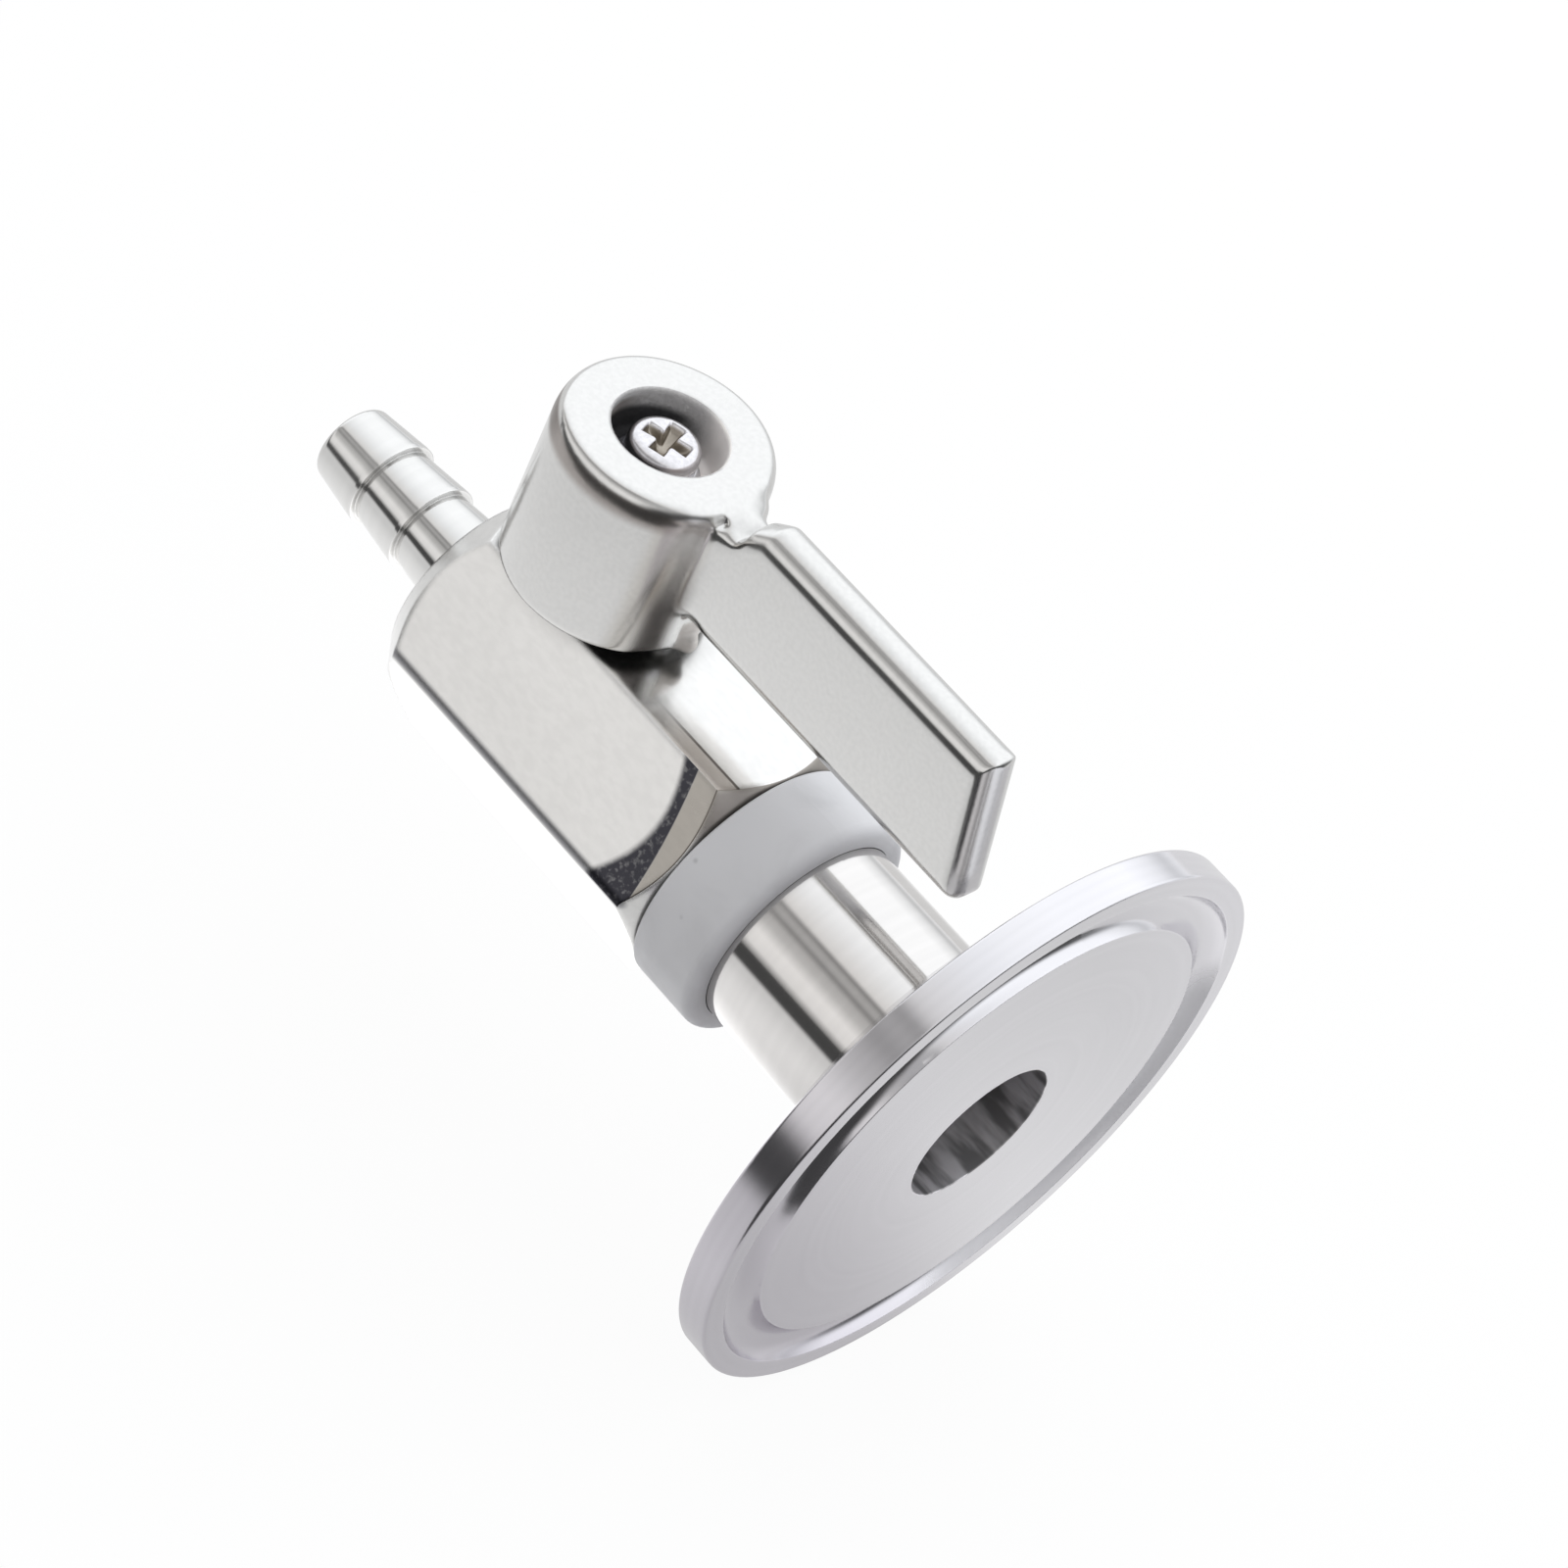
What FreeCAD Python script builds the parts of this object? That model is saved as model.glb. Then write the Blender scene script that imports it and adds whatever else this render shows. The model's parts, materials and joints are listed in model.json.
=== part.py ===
import FreeCAD, Part
import math
import os

# Mini ball valve: an 8 mm hose tail at one end, a 1.5 inch clamp ferrule at the other.
# Millimetres. The origin is the centre of the ferrule's sealing face, +X leaves that face
# along the flow axis, and +Z runs up the stem. The valve itself lies at negative X.

Vector = FreeCAD.Vector
CENTRE = Vector(0, 0, 0)
ALONG_X = Vector(1, 0, 0)
ALONG_Z = Vector(0, 0, 1)

# How far a cutting shape runs past what it cuts, and how near counts as touching
overcut = 1.0
near = 0.01

# Clamp ferrule
ferrule_radius = 25.25
rim_thickness = 2.85
rim_edge_round = 0.25
bevel_angle = 20.0
plate_thickness = 6.35
groove_circle_radius = 21.8
groove_round_radius = 1.75
groove_depth = 1.25
ferrule_bore_radius = 6.3
ferrule_bore_length = 12.6
neck_wall = 1.8
neck_length = 22.8
neck_weld_leg = 1.3
weld_bite = 0.05

# Threaded joint between the body and the ferrule's neck
thread_pitch = 1.337
thread_depth = 0.7
thread_crest_width = 0.1337
shank_thread_radius = 6.58
tape_thickness = 0.1
thread_gap = 0.035
shank_end_gap = 0.5
shank_relief_length = 1.6
shank_bore_radius = 3.4

# Moulded collar that covers the joint
collar_radius = 10.28
collar_front = 20.5
collar_length = 6.45
collar_front_round = 0.9
collar_rear_round = 0.3
collar_bore_gap = 0.05

# Hexagon body
hexagon_flats = 20.0
body_length = 31.25
hexagon_rear_chamfer = 1.5
hexagon_rear_slope = 0.93
hexagon_front_setback = 0.25
hexagon_front_slope = 1.15
edge_round = 0.9
ridge_round = 0.22

# Stem boss and stop pin on the body's top flat
stem_from_tail_face = 9.75
boss_radius = 5.4
boss_height = 4.0
stop_pin_radius = 0.8
stop_pin_circle = 6.75
stop_pin_height = 3.0
stop_pin_depth = 2.6
stop_pin_tip_round = 0.2

# Ball and seats
ball_radius = 5.25
port_radius = 2.5
seat_clearance = 0.04
seat_contact_radius = 4.1
seat_depth = 2.0
seat_bore_radius = 2.75
seat_outer_radius = 5.9
seat_pocket_gap = 0.05

# Stem, its washer and its seal rings
stem_radius = 3.0
stem_bore_gap = 0.05
stem_head_radius = 3.6
stem_head_gap = 0.1
stem_head_lift = 0.15
stem_head_height = 1.5
tang_thickness = 2.3
tang_depth = 2.3
tang_seat_gap = 0.2
tang_side_gap = 0.05
tang_end_gap = 0.15
thrust_washer_thickness = 0.5
thrust_washer_gap = 0.04
seal_section_radius = 0.42
seal_groove_depth = 0.82
seal_groove_width = 1.1
first_seal_rise = 1.5
seal_spacing = 2.2
stem_flat_half = 2.1
stem_top_gap = 0.2

# Hose tail
tail_thread_radius = 6.85
tail_thread_gap = 0.05
tail_bore_radius = 2.5
tail_seal_section_radius = 0.4
tail_seal_squeeze_gap = 0.02
tail_collar_length = 1.5
barb_crest_radius = 4.0
barb_root_radius = 3.5
barb_neck_radius = 3.4
barb_crest_land = 0.4
barb_pitch = 4.95
barb_nose_length = 5.3
barb_nose_radius = 3.4
barb_nose_round = 0.6
barb_count = 3
barb_standoff = 1.4

# Handle
hub_radius = 8.45
hub_floor_gap = 0.9
hub_height = 14.6
hub_top_round = 0.65
hub_foot_round = 0.35
hub_recess_radius = 4.45
hub_recess_depth = 4.0
hub_boss_gap = 0.3
hub_boss_headroom = 0.4
stop_slot_gap = 0.15
stop_slot_headroom = 0.35
handle_turn_angle = 90.0
double_d_gap = 0.04
blade_thickness = 3.9
blade_bottom_rise = 4.15
blade_height = 12.25
blade_reach = 38.85
blade_end_lean = 2.7
blade_shoulder_drop = 2.65
blade_shoulder_run = 3.9
blade_edge_round = 1.2
blade_corner_round = 1.0
blade_root_round = 1.2
lip_radius = 1.95
lip_reach = 8.75
lip_height = 1.7
lip_round = 0.7
nub_radius = 0.95
nub_reach = 8.5
nub_offset = 0.35
nub_rise = 0.15
nub_height = 1.4
nub_round = 0.4

# Handle screw and washers
screw_radius = 1.5
screw_thread_gap = 0.03
screw_length = 8.0
screw_end_gap = 0.6
screw_tip_chamfer = 0.5
screw_head_radius = 2.8
screw_head_height = 1.9
screw_head_dome = 0.55
cross_arm_half_length = 1.65
cross_arm_half_width = 0.4
cross_depth = 1.15
washer_radius = 3.4
washer_hole_radius = 1.6
washer_thickness = 0.5
spring_washer_radius = 2.95
spring_washer_thickness = 0.8
spring_washer_split = 0.7

# Places that follow from the sizes above
neck_radius = ferrule_bore_radius + neck_wall + (shank_thread_radius - ferrule_bore_radius)
neck_radius += tape_thickness + 2 * thread_gap
socket_radius = shank_thread_radius + tape_thickness + 2 * thread_gap
body_front_x = -(collar_front + collar_length)
body_rear_x = body_front_x - body_length
stem_x = body_rear_x + stem_from_tail_face
shank_tip_x = -(ferrule_bore_length + shank_end_gap)
flat_radius = hexagon_flats / 2
top_flat_z = flat_radius
boss_top_z = top_flat_z + boss_height
seat_face = math.sqrt(ball_radius ** 2 - seat_contact_radius ** 2)
seat_back = seat_face + seat_depth
chamber_radius = seat_outer_radius + seat_pocket_gap
stem_head_z = chamber_radius + stem_head_lift
stem_head_top_z = stem_head_z + stem_head_height
thrust_washer_top_z = stem_head_top_z + thrust_washer_thickness
stem_ceiling_z = thrust_washer_top_z + thrust_washer_gap
stem_bore_radius = stem_radius + stem_bore_gap
tang_bottom_z = stem_head_z - tang_depth
tang_half_length = seat_face - tang_seat_gap
seal_heights = [stem_ceiling_z + first_seal_rise + number * seal_spacing for number in range(2)]
hub_bottom_z = top_flat_z + hub_floor_gap
hub_top_z = hub_bottom_z + hub_height
recess_floor_z = hub_top_z - hub_recess_depth
hub_web_z = boss_top_z + hub_boss_headroom
stem_top_z = recess_floor_z - stem_top_gap
washer_top_z = recess_floor_z + washer_thickness
screw_seat_z = washer_top_z + spring_washer_thickness
screw_tip_z = screw_seat_z - screw_length
stem_hole_floor_z = screw_tip_z - screw_end_gap
tail_stop_x = stem_x - seat_back
barb_base_x = body_rear_x - barb_standoff


def cylinder_along_x(radius, start_x, end_x):
    return Part.makeCylinder(radius, end_x - start_x, Vector(start_x, 0, 0), ALONG_X)


def cylinder_on_stem(radius, bottom_z, top_z):
    return Part.makeCylinder(radius, top_z - bottom_z, Vector(stem_x, 0, bottom_z), ALONG_Z)


def turned_about_flow(profile):
    """Solid of revolution about the flow axis from (x, radius) corners."""
    corners = [Vector(x, 0, radius) for x, radius in profile]
    face = Part.Face(Part.makePolygon(corners + corners[:1]))
    return face.revolve(CENTRE, ALONG_X, 360)


def hexagon_bar(flats, start_x, end_x):
    """Hexagon bar along the flow axis with one flat facing up."""
    corner_radius = flats / math.sqrt(3)
    corners = []
    for number in range(6):
        angle = math.radians(60 * number)
        corners.append(Vector(start_x, corner_radius * math.cos(angle), corner_radius * math.sin(angle)))
    section = Part.Face(Part.makePolygon(corners + corners[:1]))
    return section.extrude(Vector(end_x - start_x, 0, 0))


def round_long_edges(bar):
    """Crisp edges beside the bar's top flat and softer ones round the rest of it."""
    for upper, size in ((True, ridge_round), (False, edge_round)):
        chosen = []
        for edge in bar.Edges:
            box = edge.BoundBox
            runs_along = box.XLength > edge.Length / 2
            if runs_along and box.YLength < near and (box.ZMin > ridge_round) == upper:
                chosen.append(edge)
        if not upper:
            chosen = [edge for edge in chosen if edge.BoundBox.ZMax < ridge_round]
        bar = bar.makeFillet(size, chosen)
    return bar


def thread_profile(crest_radius, start_x, end_x):
    """Crests and roots of a thread drawn as closed rings, from start_x to end_x."""
    turns = int((end_x - start_x) / thread_pitch)
    corners = [(start_x, crest_radius - thread_depth)]
    for number in range(turns):
        root_x = start_x + number * thread_pitch
        corners.append((root_x + (thread_pitch - thread_crest_width) / 2, crest_radius))
        corners.append((root_x + (thread_pitch + thread_crest_width) / 2, crest_radius))
        corners.append((root_x + thread_pitch, crest_radius - thread_depth))
    if corners[-1][0] < end_x - near:
        corners.append((end_x, crest_radius - thread_depth))
    return corners


def make_ferrule_flange():
    bevel_run = (plate_thickness - rim_thickness) / math.tan(math.radians(bevel_angle))
    blank = turned_about_flow([
        (0, ferrule_bore_radius),
        (0, ferrule_radius),
        (-rim_thickness, ferrule_radius),
        (-plate_thickness, ferrule_radius - bevel_run),
        (-plate_thickness, ferrule_bore_radius),
    ])
    rim_edges = [edge for edge in blank.Edges if edge.BoundBox.ZMax > ferrule_radius - near
                 and edge.BoundBox.XLength < near]
    blank = blank.makeFillet(rim_edge_round, rim_edges)
    ring_x = groove_round_radius - groove_depth
    groove = Part.makeTorus(groove_circle_radius, groove_round_radius, Vector(ring_x, 0, 0), ALONG_X)
    return blank.cut(groove)


def make_ferrule_neck():
    tube = cylinder_along_x(neck_radius, -neck_length, -plate_thickness)
    flow_bore = cylinder_along_x(ferrule_bore_radius, -ferrule_bore_length, -plate_thickness)
    socket = cylinder_along_x(socket_radius, -neck_length, -ferrule_bore_length)
    return tube.cut(flow_bore).cut(socket)


def make_neck_weld():
    """Hollow fillet of weld metal in the corner between the flange's back and the neck."""
    corner = Vector(-plate_thickness, 0, neck_radius)
    on_flange = corner + Vector(0, 0, neck_weld_leg)
    on_neck = corner + Vector(-neck_weld_leg, 0, 0)
    middle = corner + Vector(-1, 0, 1) * (neck_weld_leg * (1 - math.sqrt(0.5)) + weld_bite)
    edges = [
        Part.LineSegment(on_neck, corner).toShape(),
        Part.LineSegment(corner, on_flange).toShape(),
        Part.Arc(on_flange, middle, on_neck).toShape(),
    ]
    return Part.Face(Part.Wire(edges)).revolve(CENTRE, ALONG_X, 360)


def make_thread_tape():
    inner = shank_thread_radius + thread_gap
    start_x = -neck_length
    end_x = shank_tip_x - thread_pitch
    sleeve = cylinder_along_x(inner + tape_thickness, start_x, end_x)
    return sleeve.cut(cylinder_along_x(inner, start_x, end_x))


def make_sealing_collar():
    rear_x = body_front_x
    front_x = -collar_front
    blank = cylinder_along_x(collar_radius, rear_x, front_x)
    for edge_x, size in ((front_x, collar_front_round), (rear_x, collar_rear_round)):
        rim = [edge for edge in blank.Edges if edge.BoundBox.XLength < near
               and abs(edge.BoundBox.XMin - edge_x) < near]
        blank = blank.makeFillet(size, rim)
    neck_seat = cylinder_along_x(neck_radius + collar_bore_gap, -neck_length, front_x)
    shank_hole = cylinder_along_x(shank_thread_radius + collar_bore_gap, rear_x, front_x)
    return blank.cut(neck_seat).cut(shank_hole)


def make_body_blank():
    """Hexagon bar whose corners are turned off at both ends."""
    bar = round_long_edges(hexagon_bar(hexagon_flats, body_rear_x, body_front_x))
    corner_reach = hexagon_flats
    rear_face_radius = flat_radius - hexagon_rear_chamfer * hexagon_rear_slope
    rear_run = (corner_reach - rear_face_radius) / hexagon_rear_slope
    front_flat_x = body_front_x - hexagon_front_setback
    front_drop = hexagon_front_setback * hexagon_front_slope
    front_run = (corner_reach - flat_radius) / hexagon_front_slope
    turned = turned_about_flow([
        (body_rear_x, 0),
        (body_rear_x, rear_face_radius),
        (body_rear_x + rear_run, corner_reach),
        (front_flat_x - front_run, corner_reach),
        (front_flat_x, flat_radius),
        (body_front_x, flat_radius - front_drop),
        (body_front_x, 0),
    ])
    return bar.common(turned)


def make_shank():
    """Male thread that the ferrule's neck screws onto."""
    relief_radius = shank_thread_radius - thread_depth
    start_x = body_front_x + shank_relief_length
    profile = [(body_front_x - overcut, 0), (body_front_x - overcut, relief_radius)]
    profile += thread_profile(shank_thread_radius, start_x, shank_tip_x)
    profile += [(shank_tip_x, 0)]
    return turned_about_flow(profile)


def make_valve_body():
    body = make_body_blank()
    body = body.fuse(make_shank())
    body = body.fuse(cylinder_on_stem(boss_radius, 0, boss_top_z))
    chamber = cylinder_along_x(chamber_radius, tail_stop_x, stem_x + seat_back)
    tail_thread = cylinder_along_x(tail_thread_radius + tail_thread_gap, body_rear_x, tail_stop_x)
    outlet = cylinder_along_x(port_radius, stem_x, shank_tip_x)
    shank_bore = cylinder_along_x(shank_bore_radius, body_front_x, shank_tip_x)
    stem_pocket = cylinder_on_stem(stem_head_radius + stem_head_gap, 0, stem_ceiling_z)
    stem_bore = cylinder_on_stem(stem_bore_radius, 0, boss_top_z)
    pin_foot = Vector(stem_x + stop_pin_circle, 0, top_flat_z - stop_pin_depth)
    pin_hole = Part.makeCylinder(stop_pin_radius, 2 * stop_pin_depth, pin_foot, ALONG_Z)
    for hollow in (chamber, tail_thread, outlet, shank_bore, stem_pocket, stem_bore, pin_hole):
        body = body.cut(hollow)
    return body.removeSplitter()


def make_stop_pin():
    foot = Vector(stem_x + stop_pin_circle, 0, top_flat_z - stop_pin_depth)
    pin = Part.makeCylinder(stop_pin_radius, stop_pin_depth + stop_pin_height, foot, ALONG_Z)
    tip = [edge for edge in pin.Edges if edge.BoundBox.ZMin > top_flat_z]
    return pin.makeFillet(stop_pin_tip_round, tip)


def make_ball():
    middle = Vector(stem_x, 0, 0)
    ball = Part.makeSphere(ball_radius, middle)
    ball = ball.cut(cylinder_along_x(port_radius, stem_x - ball_radius, stem_x + ball_radius))
    slot_width = tang_thickness + 2 * tang_side_gap
    slot_floor_z = tang_bottom_z - tang_end_gap
    corner = Vector(stem_x - slot_width / 2, -ball_radius, slot_floor_z)
    slot = Part.makeBox(slot_width, 2 * ball_radius, ball_radius, corner)
    return ball.cut(slot)


def make_seat(side):
    """Seat ring; side is -1 towards the hose tail and +1 towards the ferrule."""
    ends = sorted((stem_x + side * seat_face, stem_x + side * seat_back))
    ring = cylinder_along_x(seat_outer_radius, ends[0], ends[1])
    ring = ring.cut(cylinder_along_x(seat_bore_radius, ends[0], ends[1]))
    return ring.cut(Part.makeSphere(ball_radius + seat_clearance, Vector(stem_x, 0, 0)))


def make_stem():
    head = cylinder_on_stem(stem_head_radius, stem_head_z, stem_head_top_z)
    shaft = cylinder_on_stem(stem_radius, stem_head_z, stem_top_z)
    tang_box = Part.makeBox(tang_thickness, 2 * tang_half_length, stem_head_top_z - tang_bottom_z,
                            Vector(stem_x - tang_thickness / 2, -tang_half_length, tang_bottom_z))
    tang = tang_box.common(cylinder_on_stem(tang_half_length, tang_bottom_z, stem_head_top_z))
    stem = head.fuse(shaft).fuse(tang)
    for height in seal_heights:
        low = height - seal_groove_width / 2
        ring = cylinder_on_stem(stem_radius + overcut, low, low + seal_groove_width)
        core = cylinder_on_stem(stem_radius - seal_groove_depth, low, low + seal_groove_width)
        stem = stem.cut(ring.cut(core))
    for side in (-1, 1):
        flat_height = stem_top_z - hub_web_z
        inner_y = stem_flat_half if side > 0 else -stem_flat_half - stem_radius
        waste = Part.makeBox(2 * stem_radius, stem_radius, flat_height,
                             Vector(stem_x - stem_radius, inner_y, hub_web_z))
        stem = stem.cut(waste)
    hole = cylinder_on_stem(screw_radius + screw_thread_gap, stem_hole_floor_z, stem_top_z)
    return stem.cut(hole).removeSplitter()


def make_thrust_washer():
    bottom_z = stem_head_top_z
    ring = cylinder_on_stem(stem_head_radius, bottom_z, thrust_washer_top_z)
    return ring.cut(cylinder_on_stem(stem_bore_radius, bottom_z, thrust_washer_top_z))


def make_stem_seal(height):
    ring_radius = stem_radius - seal_groove_depth + seal_section_radius + thread_gap / 2
    return Part.makeTorus(ring_radius, seal_section_radius, Vector(stem_x, 0, height), ALONG_Z)


def make_hose_tail():
    """Screwed-in plug with its nose against the seat, and three barbs outside the body."""
    seal_x = body_rear_x + tail_collar_length / 2
    seal_floor = tail_thread_radius - 2 * tail_seal_section_radius + tail_thread_gap
    seal_half = tail_seal_section_radius + tail_seal_squeeze_gap
    collar_end_x = body_rear_x + tail_collar_length
    profile = [(tail_stop_x, tail_bore_radius), (tail_stop_x, tail_thread_radius - thread_depth)]
    thread = thread_profile(tail_thread_radius, collar_end_x, tail_stop_x)
    profile += thread[::-1][1:]
    profile += [
        (collar_end_x, tail_thread_radius),
        (seal_x + seal_half, tail_thread_radius),
        (seal_x + seal_half, seal_floor - tail_seal_squeeze_gap),
        (seal_x - seal_half, seal_floor - tail_seal_squeeze_gap),
        (seal_x - seal_half, tail_thread_radius),
        (body_rear_x, tail_thread_radius),
        (body_rear_x, barb_neck_radius),
        (barb_base_x, barb_neck_radius),
    ]
    crest_x = barb_base_x
    for number in range(barb_count - 1):
        profile += [
            (crest_x, barb_crest_radius),
            (crest_x - barb_crest_land, barb_crest_radius),
            (crest_x - barb_pitch, barb_root_radius),
        ]
        crest_x -= barb_pitch
    nose_x = crest_x - barb_nose_length
    profile += [
        (crest_x, barb_crest_radius),
        (crest_x - barb_crest_land, barb_crest_radius),
        (nose_x, barb_nose_radius),
        (nose_x, tail_bore_radius),
    ]
    tail = turned_about_flow(profile)
    nose_rim = [edge for edge in tail.Edges if abs(edge.BoundBox.XMax - nose_x) < near
                and edge.BoundBox.ZMax > tail_bore_radius + near]
    return tail.makeFillet(barb_nose_round, nose_rim)


def make_tail_seal():
    seal_x = body_rear_x + tail_collar_length / 2
    ring_radius = tail_thread_radius + tail_thread_gap / 2 - tail_seal_section_radius
    section = tail_seal_section_radius - tail_seal_squeeze_gap
    return Part.makeTorus(ring_radius, section, Vector(seal_x, 0, 0), ALONG_X)


def make_hub():
    hub = cylinder_on_stem(hub_radius, hub_bottom_z, hub_top_z)
    for height, size in ((hub_top_z, hub_top_round), (hub_bottom_z, hub_foot_round)):
        rim = [edge for edge in hub.Edges if abs(edge.BoundBox.ZMin - height) < near
               and edge.BoundBox.ZLength < near]
        hub = hub.makeFillet(size, rim)
    return hub


def make_blade_plan(bottom_z, height):
    """Blade seen from above: parallel sides that flare into the hub with hollow curves."""
    half = blade_thickness / 2
    reach = hub_radius + blade_root_round
    centre_y = half + blade_root_round
    centre_x = math.sqrt(reach ** 2 - centre_y ** 2)
    on_hub = Vector(centre_x, centre_y, 0) * (hub_radius / reach)
    edges = []
    for side in (1, -1):
        centre = Vector(centre_x, side * centre_y, 0)
        hub_point = Vector(on_hub.x, side * on_hub.y, 0)
        blade_point = Vector(centre_x, side * half, 0)
        turn = (hub_point - centre) + (blade_point - centre)
        middle = centre + turn * (blade_root_round / turn.Length)
        tip_point = Vector(blade_reach, side * half, 0)
        edges.append(Part.LineSegment(Vector(0, side * on_hub.y, 0), hub_point).toShape())
        edges.append(Part.Arc(hub_point, middle, blade_point).toShape())
        edges.append(Part.LineSegment(blade_point, tip_point).toShape())
    edges.append(Part.LineSegment(Vector(0, on_hub.y, 0), Vector(0, -on_hub.y, 0)).toShape())
    edges.append(Part.LineSegment(Vector(blade_reach, half, 0), Vector(blade_reach, -half, 0)).toShape())
    wire = Part.Wire(Part.__sortEdges__(edges))
    wire.translate(Vector(stem_x, 0, bottom_z))
    return Part.Face(wire).extrude(Vector(0, 0, height))


def make_blade():
    """Flat upright lever that points along the flow axis towards the ferrule."""
    bottom_z = hub_bottom_z + blade_bottom_rise
    top_z = bottom_z + blade_height
    shoulder_reach = hub_radius + blade_shoulder_run
    shoulder_x = stem_x + shoulder_reach
    hidden_z = top_z - blade_shoulder_drop * shoulder_reach / blade_shoulder_run
    tip_x = stem_x + blade_reach
    outline = [
        Vector(stem_x, 0, bottom_z),
        Vector(tip_x, 0, bottom_z),
        Vector(tip_x - blade_end_lean, 0, top_z),
        Vector(shoulder_x, 0, top_z),
        Vector(stem_x, 0, hidden_z),
    ]
    face = Part.Face(Part.makePolygon(outline + outline[:1]))
    face.translate(Vector(0, -hub_radius, 0))
    side_view = face.extrude(Vector(0, 2 * hub_radius, 0))
    upright = [edge for edge in side_view.Edges if edge.BoundBox.YLength > hub_radius
               and edge.BoundBox.XMin > shoulder_x - near]
    side_view = side_view.makeFillet(blade_corner_round, upright)
    blade = make_blade_plan(bottom_z, blade_height).common(side_view)
    rims = []
    for edge in blade.Edges:
        box = edge.BoundBox
        runs_along = box.YLength < near and box.XMin > stem_x + near
        if runs_along and abs(abs(box.YMin) - blade_thickness / 2) < near:
            rims.append(edge)
    return blade.makeFillet(blade_edge_round, rims)


def make_lip():
    """Rounded drip of metal where the hub's top runs out towards the blade."""
    foot = Vector(stem_x + lip_reach, 0, hub_top_z - lip_height)
    lip = Part.makeCylinder(lip_radius, lip_height, foot, ALONG_Z)
    rims = [edge for edge in lip.Edges if edge.BoundBox.ZLength < near]
    return lip.makeFillet(lip_round, rims)


def make_nub():
    """Small cast nub at the hub's foot under the blade."""
    foot = Vector(stem_x + nub_reach, nub_offset, hub_bottom_z + nub_rise)
    nub = Part.makeCylinder(nub_radius, nub_height, foot, ALONG_Z)
    rims = [edge for edge in nub.Edges if edge.BoundBox.ZLength < near]
    return nub.makeFillet(nub_round, rims)


def make_stop_slot():
    """Quarter ring of space under the hub in which the fixed stop pin travels."""
    outer = stop_pin_circle + stop_pin_radius + stop_slot_gap
    top_z = top_flat_z + stop_pin_height + stop_slot_headroom
    bottom_z = hub_bottom_z - hub_floor_gap
    wedge = Part.makeCylinder(outer, top_z - bottom_z, Vector(stem_x, 0, bottom_z), ALONG_Z,
                              handle_turn_angle)
    slot = wedge
    for angle in (0, handle_turn_angle):
        turn = math.radians(angle)
        middle = Vector(stem_x + stop_pin_circle * math.cos(turn),
                        stop_pin_circle * math.sin(turn), bottom_z)
        end = Part.makeCylinder(stop_pin_radius + stop_slot_gap, top_z - bottom_z, middle, ALONG_Z)
        slot = slot.fuse(end)
    return slot


def make_double_d_hole():
    bottom_z = hub_web_z - overcut
    top_z = recess_floor_z + overcut
    hole = cylinder_on_stem(stem_radius + double_d_gap, bottom_z, top_z)
    half = stem_flat_half + double_d_gap
    width = 2 * (stem_radius + overcut)
    between = Part.makeBox(width, 2 * half, top_z - bottom_z,
                           Vector(stem_x - width / 2, -half, bottom_z))
    return hole.common(between)


def make_handle():
    handle = make_hub().fuse(make_blade()).fuse(make_lip())
    handle = handle.fuse(make_nub())
    recess = cylinder_on_stem(hub_recess_radius, recess_floor_z, hub_top_z + overcut)
    boss_room = cylinder_on_stem(boss_radius + hub_boss_gap, hub_bottom_z - overcut, hub_web_z)
    for hollow in (recess, boss_room, make_stop_slot(), make_double_d_hole()):
        handle = handle.cut(hollow)
    return handle.removeSplitter()


def make_handle_screw():
    shank = cylinder_on_stem(screw_radius, screw_tip_z, screw_seat_z)
    tip = [edge for edge in shank.Edges if edge.BoundBox.ZMax < screw_tip_z + near]
    shank = shank.makeChamfer(screw_tip_chamfer, tip)
    head_top_z = screw_seat_z + screw_head_height
    head = cylinder_on_stem(screw_head_radius, screw_seat_z, head_top_z)
    crown = [edge for edge in head.Edges if edge.BoundBox.ZMin > head_top_z - near]
    head = head.makeFillet(screw_head_dome, crown)
    screw = head.fuse(shank)
    for length, width in ((cross_arm_half_length, cross_arm_half_width),
                          (cross_arm_half_width, cross_arm_half_length)):
        arm = Part.makeBox(2 * length, 2 * width, cross_depth + overcut,
                           Vector(stem_x - length, -width, head_top_z - cross_depth))
        screw = screw.cut(arm)
    return screw


def make_flat_washer():
    ring = cylinder_on_stem(washer_radius, recess_floor_z, washer_top_z)
    return ring.cut(cylinder_on_stem(washer_hole_radius, recess_floor_z, washer_top_z))


def make_spring_washer():
    ring = cylinder_on_stem(spring_washer_radius, washer_top_z, screw_seat_z)
    ring = ring.cut(cylinder_on_stem(washer_hole_radius, washer_top_z, screw_seat_z))
    gap = Part.makeBox(spring_washer_split, 2 * spring_washer_radius, spring_washer_thickness,
                       Vector(stem_x - spring_washer_split / 2, 0, washer_top_z))
    return ring.cut(gap)


pieces = {
    "ferrule_flange": make_ferrule_flange(),
    "ferrule_neck": make_ferrule_neck(),
    "neck_weld": make_neck_weld(),
    "thread_tape": make_thread_tape(),
    "sealing_collar": make_sealing_collar(),
    "valve_body": make_valve_body(),
    "stop_pin": make_stop_pin(),
    "ball": make_ball(),
    "seat_tail_side": make_seat(-1),
    "seat_ferrule_side": make_seat(1),
    "hose_tail": make_hose_tail(),
    "tail_seal_ring": make_tail_seal(),
    "stem": make_stem(),
    "thrust_washer": make_thrust_washer(),
    "stem_seal_lower": make_stem_seal(seal_heights[0]),
    "stem_seal_upper": make_stem_seal(seal_heights[1]),
    "handle": make_handle(),
    "handle_screw": make_handle_screw(),
    "flat_washer": make_flat_washer(),
    "spring_washer": make_spring_washer(),
}

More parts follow.
